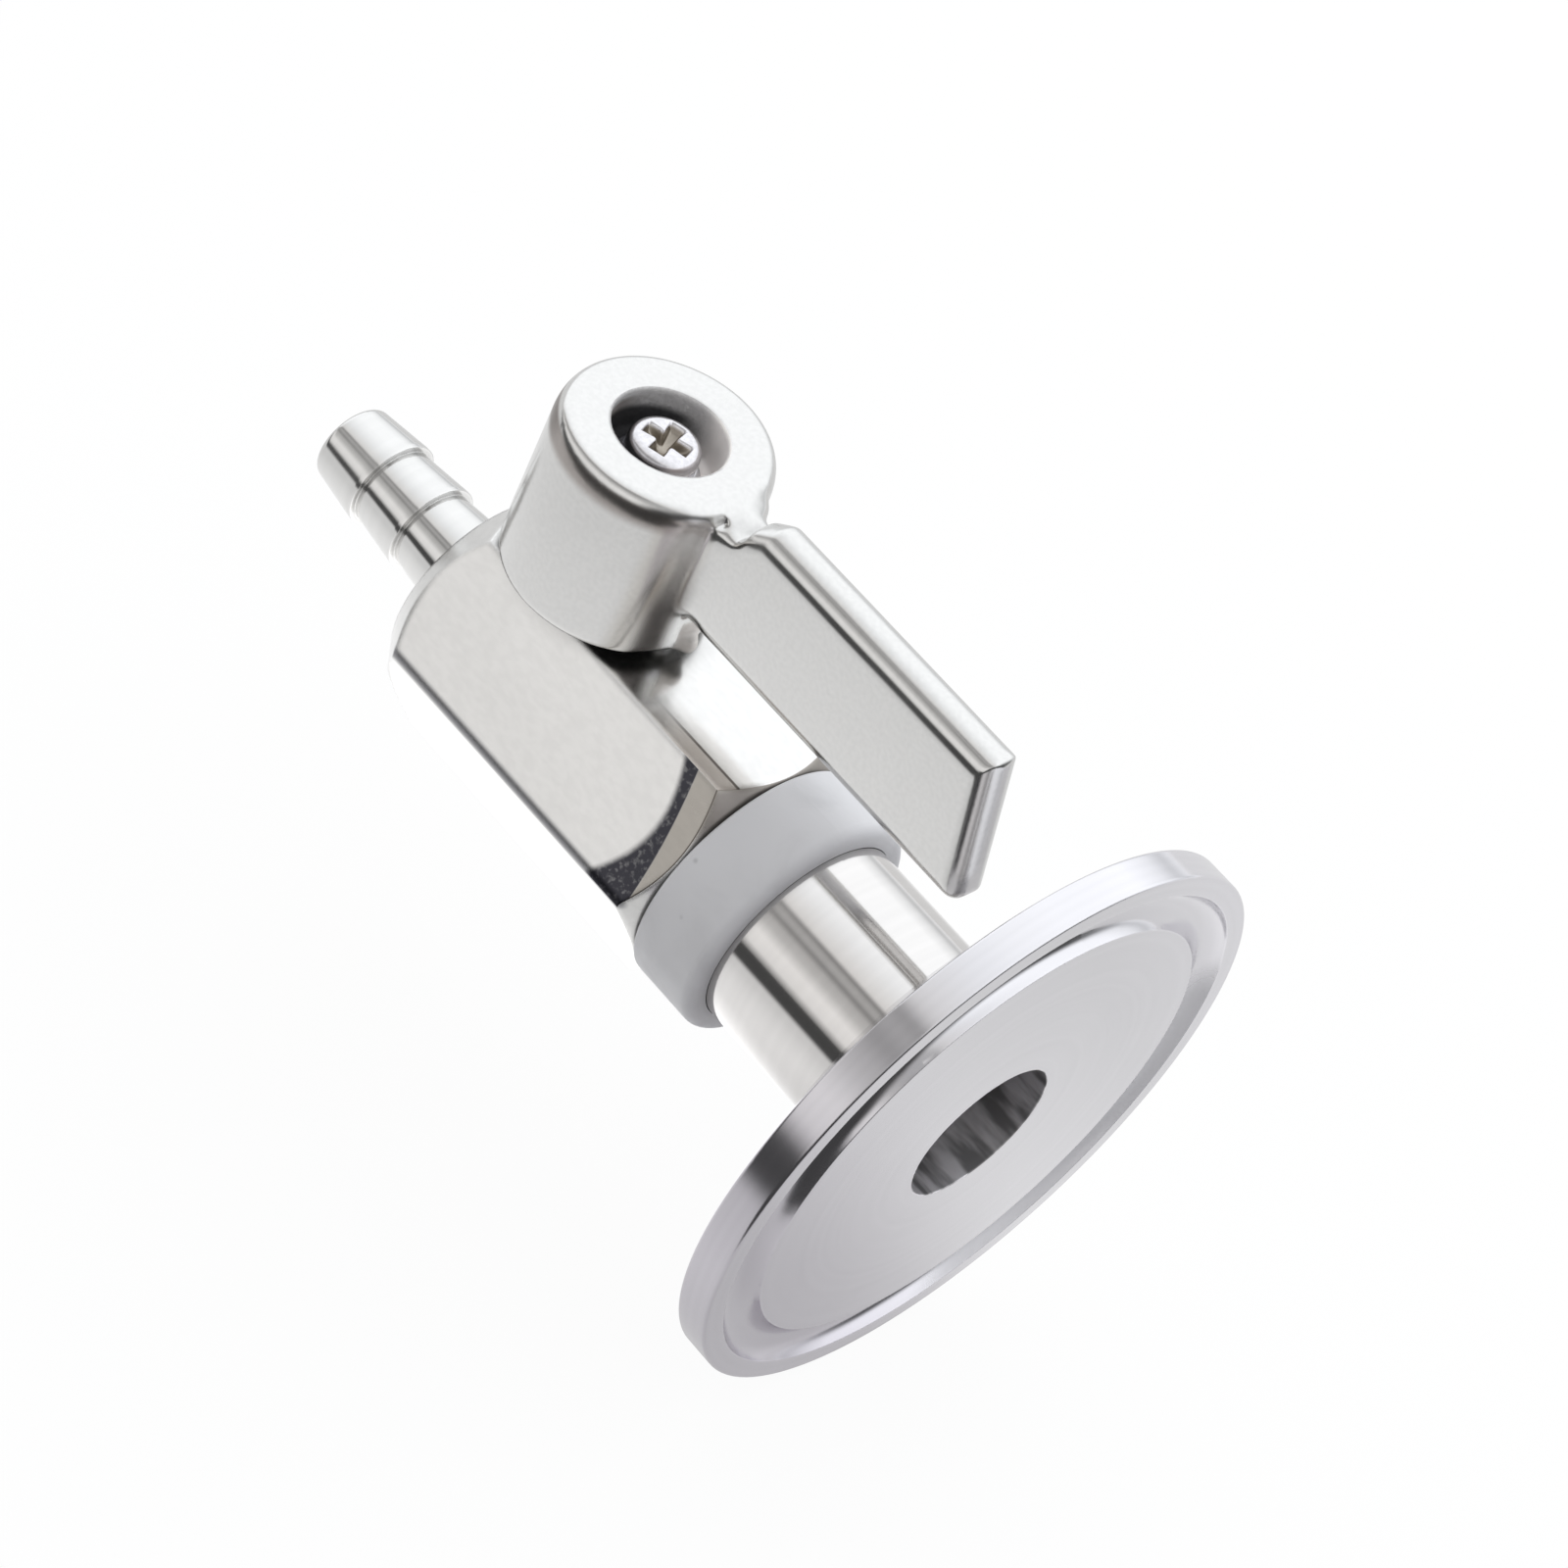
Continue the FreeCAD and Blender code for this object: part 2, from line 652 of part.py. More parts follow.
os.makedirs("parts", exist_ok=True)
for name, shape in pieces.items():
    shape.exportStep(f"parts/{name}.step")
    print(name, "solids", len(shape.Solids), "valid", shape.isValid(), "volume", round(shape.Volume, 2))
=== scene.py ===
# %% [markdown]
# # Dressing a mini ball valve in Blender
# The valve's solids come ready made: a hexagon body, a cast lever handle, a barbed hose tail
# and a clamp ferrule, all of stainless steel, with one pale plastic collar. This lesson gives
# each piece the skin that it has on the real valve, and then lights it like a catalogue photo.
# Everything is in metres, in the frame of the solids: X is the flow axis, Z runs up the stem.

# %% Load the solids
import json
import math

import bmesh
import bpy
from mathutils import Matrix, Vector, noise


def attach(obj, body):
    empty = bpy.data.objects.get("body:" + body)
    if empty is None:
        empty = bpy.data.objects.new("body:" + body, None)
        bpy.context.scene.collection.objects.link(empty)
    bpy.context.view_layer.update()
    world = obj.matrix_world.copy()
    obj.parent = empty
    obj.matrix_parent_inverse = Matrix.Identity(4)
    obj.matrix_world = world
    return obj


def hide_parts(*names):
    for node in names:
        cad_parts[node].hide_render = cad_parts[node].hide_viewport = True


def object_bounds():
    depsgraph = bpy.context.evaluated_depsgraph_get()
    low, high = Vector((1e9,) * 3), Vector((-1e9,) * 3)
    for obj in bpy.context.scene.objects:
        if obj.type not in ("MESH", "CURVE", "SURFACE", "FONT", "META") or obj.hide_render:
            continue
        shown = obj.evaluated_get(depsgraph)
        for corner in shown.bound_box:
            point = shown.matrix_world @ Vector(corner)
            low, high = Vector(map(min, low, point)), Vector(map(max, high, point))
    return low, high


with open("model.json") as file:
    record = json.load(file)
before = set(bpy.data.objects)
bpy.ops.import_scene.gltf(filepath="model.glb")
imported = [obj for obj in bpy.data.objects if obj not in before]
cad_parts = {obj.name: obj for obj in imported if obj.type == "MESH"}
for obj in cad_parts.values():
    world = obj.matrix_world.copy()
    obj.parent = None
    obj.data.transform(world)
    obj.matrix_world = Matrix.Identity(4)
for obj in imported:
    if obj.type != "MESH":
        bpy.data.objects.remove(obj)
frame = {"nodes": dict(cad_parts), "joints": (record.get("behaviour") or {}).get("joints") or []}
cad_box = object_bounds()
nodes = frame["nodes"]

# %% [markdown]
# ## Places taken from the frame
# What this lesson adds has to sit on the solids, so its main places are read from them: the
# stem that the lever turns on, the top of the blade, and the screw. They're turned into
# millimetres and rounded to a thousandth, because a mesh keeps about seven digits.

# %% Places from the frame
MM = 0.001


def box_of(name):
    """The lowest and the highest corner of a solid, in millimetres."""
    parts = list(zip(*nodes[name].bound_box))
    return [[round(pick(part) / MM, 3) for part in parts] for pick in (min, max)]


hinge = frame["joints"][0]
stem_place = tuple(round(part / MM, 3) for part in hinge["pos_m"])
blade_crest = box_of("handle")[1][2]
screw_lowest, screw_highest = box_of("handle_screw")
print(hinge["name"], "at", stem_place, "blade up to", blade_crest)
print("screw from", screw_lowest, "to", screw_highest)

# %% [markdown]
# ## The camera
# The photo looks down on the valve from the handle's side, turned a little in the frame. Its
# three directions were worked out beforehand from the valve's known corners, so they are
# written here as a matrix: to the right, up, and back towards the eye.

# %% Camera
def add_object(name, data):
    """A new object in the scene, made of that data."""
    made = bpy.data.objects.new(name, data)
    bpy.context.scene.collection.objects.link(made)
    return made


eye = Vector((100.537, -230.265, 245.071)) * MM
to_right = Vector((0.6319850, 0.6970270, 0.3387452))
to_top = Vector((-0.6855709, 0.2990191, 0.6637621))
to_eye = Vector((0.3613688, -0.6517215, 0.6668370))
focal_pixels = 5003.65
photo_pixels = 1600

camera_data = bpy.data.cameras.new("photo_camera")
camera_data.sensor_width = 36
camera_data.lens = focal_pixels / photo_pixels * camera_data.sensor_width
camera_data.clip_start = 10 * MM
camera = add_object("photo_camera", camera_data)
turn = Matrix((to_right, to_top, to_eye)).transposed()
camera.matrix_world = Matrix.Translation(eye) @ turn.to_4x4()
bpy.context.scene.camera = camera
print("lens:", round(camera_data.lens, 1), "mm, eye at", [round(c, 3) for c in eye])

# %% [markdown]
# ## A small kit for wiring shader nodes
# A procedural material is a net of nodes. Wiring it by hand takes three lines a node, so
# short helpers do it: one adds a node and sets its values, one joins sockets, and two do a sum
# with numbers or with vectors. Each takes either a plain number or another node's output.

# %% Helpers for nodes
def add_node(tree, kind, inputs=None, **settings):
    """A node of that kind, with its settings and the values or links of its inputs."""
    node = tree.nodes.new(kind)
    for key, value in settings.items():
        setattr(node, key, value)
    for key, value in (inputs or {}).items():
        plug(tree, value, node.inputs[key])
    return node


def plug(tree, value, socket):
    """Link an output into a socket, or set the socket's own value."""
    if isinstance(value, bpy.types.NodeSocket):
        tree.links.new(value, socket)
    else:
        socket.default_value = value


def sum_node(tree, operation, *values, clamp=False):
    """The output of a Math node."""
    inputs = dict(enumerate(values))
    return add_node(tree, "ShaderNodeMath", inputs, operation=operation, use_clamp=clamp).outputs[0]


def vector_node(tree, operation, *values, output="Vector"):
    """An output of a Vector Math node."""
    inputs = dict(enumerate(values))
    return add_node(tree, "ShaderNodeVectorMath", inputs, operation=operation).outputs[output]


print("nodes can be wired")

# %% [markdown]
# ## Helpers for places, noise and colour
# The same few nets come up in every finish: where on the piece a point is, how far it lies
# from the flow axis, a cloudy noise there, and a stretch of values made into a mask. Each gets
# a name here, so that the effects below read like a recipe.

# %% Helpers for places, noise and colour
def object_place(tree):
    """The place on the object, in metres."""
    return add_node(tree, "ShaderNodeTexCoord").outputs["Object"]


def split(tree, vector):
    """The three parts of a vector, by the names of the axes."""
    return add_node(tree, "ShaderNodeSeparateXYZ", {"Vector": vector}).outputs


def axis_distance(tree, axes):
    """The distance from the flow axis."""
    flat = add_node(tree, "ShaderNodeCombineXYZ", {"X": axes["Y"], "Y": axes["Z"]}).outputs[0]
    return vector_node(tree, "LENGTH", flat, output="Value")


def cloud_noise(tree, where, scale, detail, **inputs):
    """Cloudy noise, read at a place."""
    inputs = {"Vector": where, "Scale": scale, "Detail": detail, **inputs}
    return add_node(tree, "ShaderNodeTexNoise", inputs).outputs["Fac"]


def without(tree, value, share):
    """A value, less a share of itself."""
    return sum_node(tree, "MULTIPLY", value, sum_node(tree, "SUBTRACT", 1.0, share))


def ramp(tree, value, low, high, start=0.0, end=1.0):
    """value from low..high stretched to start..end, with soft shoulders."""
    inputs = {"Value": value, "From Min": low, "From Max": high, "To Min": start, "To Max": end}
    node = add_node(tree, "ShaderNodeMapRange", inputs, interpolation_type="SMOOTHSTEP")
    return node.outputs["Result"]


def mix_colour(tree, share, first, second, blend="MIX"):
    """Two colours mixed by a share from 0 to 1."""
    node = add_node(tree, "ShaderNodeMix", data_type="RGBA", blend_type=blend)
    for key, value in ((0, share), (6, first), (7, second)):
        plug(tree, value, node.inputs[key])
    return node.outputs[2]


print("places, noise and colour ready")

# %% [markdown]
# ## A helper for node groups
# An effect that several materials share is built once, as a node group, and each material sets
# the group's inputs in its own way. The helper makes an empty group with its sockets.

# %% Helper for node groups
def new_group(name, inputs, outputs):
    """An empty node group with named inputs, given as name: value, and named outputs."""
    tree = bpy.data.node_groups.new(name, "ShaderNodeTree")
    for key, value in inputs.items():
        kind = "NodeSocketVector" if isinstance(value, tuple) else "NodeSocketFloat"
        tree.interface.new_socket(key, in_out="INPUT", socket_type=kind).default_value = value
    for key in outputs:
        tree.interface.new_socket(key, in_out="OUTPUT", socket_type="NodeSocketFloat")
    given = tree.nodes.new("NodeGroupInput").outputs
    result = tree.nodes.new("NodeGroupOutput").inputs
    return tree, given, result


print("groups can be made")

# %% [markdown]
# ## Shared effect 1: worn edges
# Handling polishes the edges of steel, so they shine a little brighter than the faces. The
# Bevel node bends the surface normal near an edge. Where the bent and the true normal differ,
# there is an edge, whatever the mesh looks like. A little noise keeps the line uneven.

# %% Node group: worn edges
def make_edge_wear():
    tree, given, result = new_group(
        "edge_wear", {"Radius": 0.3 * MM, "Patchiness": 0.4}, ["Edge"])
    bent = add_node(tree, "ShaderNodeBevel", {"Radius": given["Radius"]}, samples=4)
    true = add_node(tree, "ShaderNodeNewGeometry")
    likeness = vector_node(
        tree, "DOT_PRODUCT", bent.outputs["Normal"], true.outputs["Normal"], output="Value")
    edge = ramp(tree, likeness, 0.995, 0.90)
    uneven = cloud_noise(tree, object_place(tree), scale=900.0, detail=3.0)
    lost = without(tree, given["Patchiness"], ramp(tree, uneven, 0.35, 0.6))
    plug(tree, without(tree, edge, lost), result["Edge"])
    return tree


edge_wear = make_edge_wear()
print("group:", edge_wear.name)

# %% [markdown]
# ## Shared effect 2: creases in painted shade
# Polishing wheels can't reach inner corners, so they stay duller. The Ambient Occlusion node
# tells how closed in a point is, which gives a soft mask for the corners. The colour is darkened
# there as painted shade.

# %% Node group: creases
def make_crease_shade():
    tree, given, result = new_group("crease_shade", {"Reach": 1.2 * MM}, ["Crease"])
    shut = add_node(
        tree, "ShaderNodeAmbientOcclusion", {"Distance": given["Reach"]}, samples=6)
    # This mask darkens the colour of the corners as painted shade.
    plug(tree, ramp(tree, shut.outputs["AO"], 0.85, 0.25), result["Crease"])
    return tree


crease_shade = make_crease_shade()
print("group:", crease_shade.name)

# %% [markdown]
# ## Shared effect 3: turning marks
# The ferrule, the neck and the hose tail are turned on a lathe. The tool leaves fine rings
# round the flow axis, so the pattern may change along the axis and with the radius, but hardly
# round it. The noise is read at (x, radius) and at a slow share of the angle.

# %% Node group: turning marks
def make_turning():
    tree, given, result = new_group(
        "turning_marks", {"Rings per mm": 6.0, "Drift": 0.6}, ["Height", "Tone"])
    axes = split(tree, object_place(tree))
    radius = axis_distance(tree, axes)
    rings = sum_node(tree, "MULTIPLY", given["Rings per mm"], 1 / MM)
    slow = sum_node(tree, "MULTIPLY", given["Drift"], 40.0)
    where = add_node(tree, "ShaderNodeCombineXYZ", {
        "X": sum_node(tree, "MULTIPLY", sum_node(tree, "ADD", axes["X"], radius), rings),
        "Y": sum_node(tree, "MULTIPLY", axes["Y"], slow),
        "Z": sum_node(tree, "MULTIPLY", axes["Z"], slow)}).outputs[0]
    plug(tree, cloud_noise(tree, where, scale=1.0, detail=4.0), result["Height"])
    wide = cloud_noise(tree, where, scale=0.13, detail=2.0)
    plug(tree, ramp(tree, wide, 0.3, 0.7), result["Tone"])
    return tree


turning_marks = make_turning()
print("group:", turning_marks.name)

# %% [markdown]
# ## Shared effect 4: brushed grain
# The hexagon's flats and the blade are finished on a belt. The belt's scratches are long in
# one direction and very fine across it, so the noise is stretched along that direction.

# %% Node group: brushed grain
def make_brushed():
    tree, given, result = new_group(
        "brushed_grain", {"Stretch": (40.0, 2000.0, 2000.0)}, ["Height", "Tone"])
    where = vector_node(tree, "MULTIPLY", object_place(tree), given["Stretch"])
    plug(tree, cloud_noise(tree, where, scale=3.0, detail=3.0), result["Height"])
    wide = cloud_noise(tree, where, scale=0.4, detail=2.0)
    plug(tree, ramp(tree, wide, 0.3, 0.7), result["Tone"])
    return tree


brushed_grain = make_brushed()
print("group:", brushed_grain.name)

# %% [markdown]
# ## Shared effect 5: cast skin
# A lost-wax casting keeps a faint orange-peel skin and a few pits, even after polishing. Two
# sizes of noise give the waves, and a sparse cell pattern gives the pits.

# %% Node group: cast skin
def make_cast_skin():
    tree, given, result = new_group(
        "cast_skin", {"Waves": 260.0, "Pits": 700.0}, ["Height", "Tone", "Pit"])
    place = object_place(tree)
    waves = cloud_noise(tree, place, scale=given["Waves"], detail=2.0)
    cells = add_node(tree, "ShaderNodeTexVoronoi", {"Vector": place, "Scale": given["Pits"]})
    spot = ramp(tree, cells.outputs["Distance"], 0.22, 0.08)
    lottery = add_node(
        tree, "ShaderNodeSeparateColor", {"Color": cells.outputs["Color"]}).outputs["Red"]
    pit = sum_node(tree, "MULTIPLY", spot, sum_node(tree, "GREATER_THAN", lottery, 0.9))
    plug(tree, pit, result["Pit"])
    fine = cloud_noise(tree, place, scale=2600.0, detail=2.0)
    plug(tree, ramp(tree, fine, 0.3, 0.7), result["Tone"])
    plug(tree, sum_node(tree, "SUBTRACT", waves, pit), result["Height"])
    return tree


cast_skin = make_cast_skin()
print("group:", cast_skin.name)

# %% [markdown]
# ## Shared effect 6: handling marks
# Fingers leave a faint uneven film on bright steel. It changes how sharp the reflections are
# more than it changes the colour, so the mask goes mostly into the roughness.

# %% Node group: handling marks
def make_smudges():
    tree, given, result = new_group("smudges", {"Size": 90.0}, ["Film"])
    cloud = cloud_noise(
        tree, object_place(tree), scale=given["Size"], detail=5.0, Distortion=0.6)
    plug(tree, ramp(tree, cloud, 0.42, 0.68), result["Film"])
    return tree


smudges = make_smudges()
print("group:", smudges.name)

# %% [markdown]
# ## Shared effect 7: the inside of a bore
# A bore is drilled or cast and stays rough. This mask is 1 within a given distance of an axis,
# so a material can tell the bore's wall from the polished outside.

# %% Node group: bore mask
def make_bore_mask():
    tree, given, result = new_group("bore_mask", {
        "Point": (0.0, 0.0, 0.0), "Axis": (1.0, 0.0, 0.0), "Radius": 6.4 * MM,
        "Softness": 0.02 * MM, "Mottle": 0.0}, ["Inside"])
    place = object_place(tree)
    offset = vector_node(tree, "SUBTRACT", place, given["Point"])
    across = vector_node(tree, "CROSS_PRODUCT", offset, given["Axis"])
    distance = vector_node(tree, "LENGTH", across, output="Value")
    rim = sum_node(tree, "ADD", given["Radius"], given["Softness"])
    inside = ramp(tree, distance, rim, given["Radius"])
    speckle = cloud_noise(tree, place, scale=5200.0, detail=2.0)
    holes = sum_node(tree, "MULTIPLY", given["Mottle"], ramp(tree, speckle, 0.4, 0.62))
    plug(tree, without(tree, inside, holes), result["Inside"])
    return tree


bore_mask = make_bore_mask()
print("group:", bore_mask.name)

# %% [markdown]
# ## Shared effect 8: the ends of the flats
# The hexagon's upper side flats turn dark towards their front ends, and the dark starts sooner
# at the corners, so it starts along an arc. Adding a share of the radius to the place along the
# axis bends a straight limit into such an arc. Past the dark band the flats are duller and
# brownish, from a line that runs a little askew.
# Past the skin the metal is bare and dull, from a line that runs a little askew.

# %% Node group: ends of the side flats
def make_flat_ends():
    tree, given, result = new_group("flat_ends", {
        "Corner share": 1.3, "Start": -17.55 * MM, "End": -16.85 * MM, "Skew": 0.236,
        "Bow": 0.25, "Dull from": -26.5 * MM, "Mottle": 0.16, "Grain": 2600.0},
        ["Beyond", "Dull"])
    place = object_place(tree)
    axes = split(tree, place)
    radius = axis_distance(tree, axes)
    bent = sum_node(tree, "MULTIPLY_ADD", radius, given["Corner share"], axes["X"])
    past = ramp(tree, bent, given["Start"], given["End"])
    speckle = cloud_noise(tree, place, scale=given["Grain"], detail=4.0)
    holes = sum_node(tree, "MULTIPLY", given["Mottle"], ramp(tree, speckle, 0.5, 0.7))
    plug(tree, without(tree, past, holes), result["Beyond"])
    cosine, sine = 0.866, -0.5
    sideways = sum_node(tree, "MULTIPLY", sum_node(tree, "ABSOLUTE", axes["Y"]), sine)
    up_the_flat = sum_node(tree, "MULTIPLY_ADD", axes["Z"], cosine, sideways)
    askew = sum_node(tree, "MULTIPLY_ADD", up_the_flat, given["Skew"], axes["X"])
    askew = sum_node(tree, "MULTIPLY_ADD", radius, given["Bow"], askew)
    limit = sum_node(tree, "ADD", given["Dull from"], 0.12 * MM)
    plug(tree, ramp(tree, askew, given["Dull from"], limit), result["Dull"])
    return tree


flat_ends = make_flat_ends()
print("group:", flat_ends.name)

# %% [markdown]
# ## Shared effect 9: which face it is
# The two upper side flats have these ends, but not the top flat, and not the cone where the
# corners are turned off. A face is told by the way that it faces, so this mask asks the normal.

# %% Node group: which face
def make_facing():
    tree, given, result = new_group("facing", {"Highest": 0.8, "Lowest": -0.1}, ["Side", "Cone"])
    least_lean, most_lean = 0.3, 0.97
    lean = split(tree, add_node(tree, "ShaderNodeTexCoord").outputs["Normal"])
    cone = sum_node(tree, "MULTIPLY", sum_node(tree, "GREATER_THAN", lean["X"], least_lean),
                    sum_node(tree, "LESS_THAN", lean["X"], most_lean))
    side = sum_node(tree, "MULTIPLY", sum_node(tree, "LESS_THAN", lean["Z"], given["Highest"]),
                    sum_node(tree, "GREATER_THAN", lean["Z"], given["Lowest"]))
    plug(tree, without(tree, side, cone), result["Side"])
    plug(tree, cone, result["Cone"])
    return tree


facing = make_facing()
print("group:", facing.name)

# %% [markdown]
# ## Shared effect 10: a stretch of the length
# A finish often changes from one stretch of a piece to the next. This mask rises from 0 to 1
# along a direction, between two places on it.

# %% Node group: length mask
def make_length_mask():
    tree, given, result = new_group(
        "length_mask", {"Direction": (1.0, 0.0, 0.0), "Start": 0.0, "End": 1 * MM}, ["Beyond"])
    along = vector_node(
        tree, "DOT_PRODUCT", object_place(tree), given["Direction"], output="Value")
    plug(tree, ramp(tree, along, given["Start"], given["End"]), result["Beyond"])
    return tree


length_mask = make_length_mask()
print("group:", length_mask.name)

# %% [markdown]
# ## Shared effect 11: streaks along a bore
# Light that falls into a polished bore comes back in streaks along its axis. Noise that is read
# at the direction round the axis, and hardly along it, makes such streaks.

# %% Node group: bore streaks
def make_streaks():
    tree, given, result = new_group("bore_streaks", {"Strands": 3.0}, ["Streak"])
    place = object_place(tree)
    flat = vector_node(tree, "MULTIPLY", place, (0.0, 1.0, 1.0))
    round_axis = vector_node(tree, "NORMALIZE", flat)
    along = vector_node(tree, "MULTIPLY", place, (40.0, 0.0, 0.0))
    where = vector_node(tree, "ADD", round_axis, along)
    strands = cloud_noise(tree, where, scale=given["Strands"], detail=3.0)
    plug(tree, ramp(tree, strands, 0.4, 0.6), result["Streak"])
    return tree


bore_streaks = make_streaks()
print("group:", bore_streaks.name)

# %% [markdown]
# ## Starting a material
# Each finish begins in the same way: a new material with its surface node, shared effects set
# into it, and a colour that is made lighter or darker in places.

# %% Start a material
def group_node(tree, group, **inputs):
    """A shared effect, placed in a material with its own values."""
    node = add_node(tree, "ShaderNodeGroup", node_tree=group)
    for key, value in inputs.items():
        plug(tree, value, node.inputs[key.replace("_", " ")])
    return node


def shade(colour, factor):
    """A colour made lighter or darker, with its alpha."""
    return tuple(channel * factor for channel in colour[:3]) + (1.0,)


def start_material(name):
    """A new material, its node tree and its surface node."""
    material = bpy.data.materials.new(name)
    material.use_nodes = True
    tree = material.node_tree
    return material, tree, tree.nodes["Principled BSDF"]


print("materials can be started")

# %% [markdown]
# ## One recipe for steel
# All the steel here is the same alloy, and only the finish differs. So one function builds a
# steel material, and each piece gives its own values: how bright, how rough, which marks, how
# deep they are and how dark the creases look. The bump's depth is in metres, like the marks.

# %% Steel recipe
def steel(name, colour, roughness, marks, depth, tone=0.06, film=0.05,
          crease_shade_gain=0.6, crease_reach=1.2 * MM, round_edges=0.15 * MM):
    """Steel with machine marks, a film of handling, bright edges, and rough creases in painted
    shade.
    """
    edge_reach, edge_gain, edge_polish, crease_dullness = 0.3 * MM, 1.12, 0.06, 0.15
    material, tree, surface = start_material(name)
    edge = group_node(tree, edge_wear, Radius=edge_reach).outputs["Edge"]
    crease = group_node(tree, crease_shade, Reach=crease_reach).outputs["Crease"]
    cloud = group_node(tree, smudges).outputs["Film"]
    grain = marks(tree)
    paint = mix_colour(
        tree, grain.outputs["Tone"], shade(colour, 1 - tone), shade(colour, 1 + tone))
    # Painted shade: the creases darken the colour.
    paint = mix_colour(tree, crease, paint, shade(colour, crease_shade_gain))
    paint = mix_colour(tree, edge, paint, shade(colour, edge_gain))
    plug(tree, paint, surface.inputs["Base Color"])
    rough = sum_node(tree, "MULTIPLY_ADD", cloud, film, roughness)
    rough = sum_node(tree, "MULTIPLY_ADD", crease, crease_dullness, rough)
    rough = sum_node(tree, "MULTIPLY_ADD", edge, -edge_polish, rough, clamp=True)
    plug(tree, rough, surface.inputs["Roughness"])
    softened = add_node(tree, "ShaderNodeBevel", {"Radius": round_edges}, samples=6)
    bump = add_node(tree, "ShaderNodeBump", {
        "Height": grain.outputs["Height"], "Distance": depth, "Strength": 1.0,
        "Normal": softened.outputs["Normal"]})
    plug(tree, bump.outputs["Normal"], surface.inputs["Normal"])
    surface.inputs["Metallic"].default_value = 1.0
    return material


print("steel recipe ready")

# %% Marks for the steel
def turned(rings):
    """Marks of the lathe, with that many rings to a millimetre."""
    return lambda tree: group_node(tree, turning_marks, Rings_per_mm=rings)


def brushed(stretch):
    """Marks of the belt."""
    return lambda tree: group_node(tree, brushed_grain, Stretch=stretch)


def cast(waves, pits):
    """The skin of a casting."""
    return lambda tree: group_node(tree, cast_skin, Waves=waves, Pits=pits)


print("marks ready: turned, brushed, cast")

# %% [markdown]
# ## The steel finishes
# The ferrule is turned and then satin polished, the neck and the hose tail are brighter, the
# hexagon is brushed, and the handle is a polished casting. Warm steel shows the room's walls,
# and the ferrule's is a little cooler, as in the photo.

# %% Steel finishes
warm_steel = (0.745, 0.74, 0.73)
cool_steel = (0.735, 0.725, 0.75)
neck_steel = (0.75, 0.733, 0.722)
belt_stretch = (2200.0, 4200.0, 4200.0)
finishes = {
    "ferrule_flange": steel(
        "ferrule_steel", cool_steel, 0.13, turned(9.0), 0.0004 * MM, tone=0.015),
    "ferrule_neck": steel(
        "neck_steel", neck_steel, 0.09, turned(7.0), 0.0005 * MM, tone=0.02),
    "neck_weld": steel("weld_steel", warm_steel, 0.3, cast(900.0, 1500.0), 0.02 * MM),
    "valve_body": steel(
        "body_steel", shade(warm_steel, 1.06), 0.17, brushed(belt_stretch), 0.0012 * MM,
        tone=0.022, film=0.03, crease_shade_gain=0.4, crease_reach=3 * MM, round_edges=0.8 * MM),
    "stop_pin": steel("pin_steel", warm_steel, 0.25, turned(4.0), 0.001 * MM),
    "ball": steel("ball_steel", cool_steel, 0.08, turned(6.0), 0.0004 * MM, tone=0.02),
    "hose_tail": steel("tail_steel", warm_steel, 0.1, turned(8.0), 0.0004 * MM, tone=0.02),
    "stem": steel("stem_steel", warm_steel, 0.25, turned(5.0), 0.001 * MM),
    "handle": steel(
        "handle_steel", shade(warm_steel, 0.985), 0.15, cast(240.0, 650.0), 0.006 * MM,
        tone=0.02, crease_shade_gain=0.4, crease_reach=4 * MM, round_edges=0.1 * MM),
    "handle_screw": steel("screw_steel", cool_steel, 0.14, cast(900.0, 1800.0), 0.006 * MM),
    "flat_washer": steel("washer_steel", cool_steel, 0.25, cast(900.0, 1800.0), 0.01 * MM),
}
finishes["spring_washer"] = finishes["flat_washer"]
print("steel finishes:", len(set(finishes.values())))

# %% [markdown]
# ## Places that differ
# A finish changes from place to place: a bore stays rough, an inner corner stays dark. A mask
# is 1 at such a place and 0 elsewhere. Each helper here describes a mask, in millimetres, and
# the mask becomes nodes when a material is reworked with it. Two helpers combine masks.

# %% Masks
def in_bore(point, axis, radius, softness=0.02, mottle=0.0):
    """Within a radius of the axis through a point."""
    return lambda tree: group_node(
        tree, bore_mask, Point=tuple(part * MM for part in point), Axis=axis,
        Radius=radius * MM, Softness=softness * MM, Mottle=mottle).outputs["Inside"]


def beyond(direction, start, end):
    """Rising from 0 to 1 along a direction, between two places on it."""
    return lambda tree: group_node(
        tree, length_mask, Direction=direction, Start=start * MM, End=end * MM
    ).outputs["Beyond"]


def streaked(strands):
    """In streaks along the flow axis."""
    return lambda tree: group_node(tree, bore_streaks, Strands=strands).outputs["Streak"]


def past_the_arc(output, **values):
    """Past the arc near the front of the side flats."""
    return lambda tree: group_node(tree, flat_ends, **values).outputs[output]


def on_faces(output):
    """On the upper side flats, or on the cone at the front."""
    return lambda tree: group_node(tree, facing).outputs[output]


print("masks ready")

# %% Combine masks, and rework a material
def all_of(*masks):
    """Where every mask is 1."""
    def build(tree):
        product = masks[0](tree)
        for mask in masks[1:]:
            product = sum_node(tree, "MULTIPLY", product, mask(tree))
        return product
    return build


def less(first, second):
    """The first mask without the second."""
    return lambda tree: sum_node(tree, "SUBTRACT", first(tree), second(tree), clamp=True)


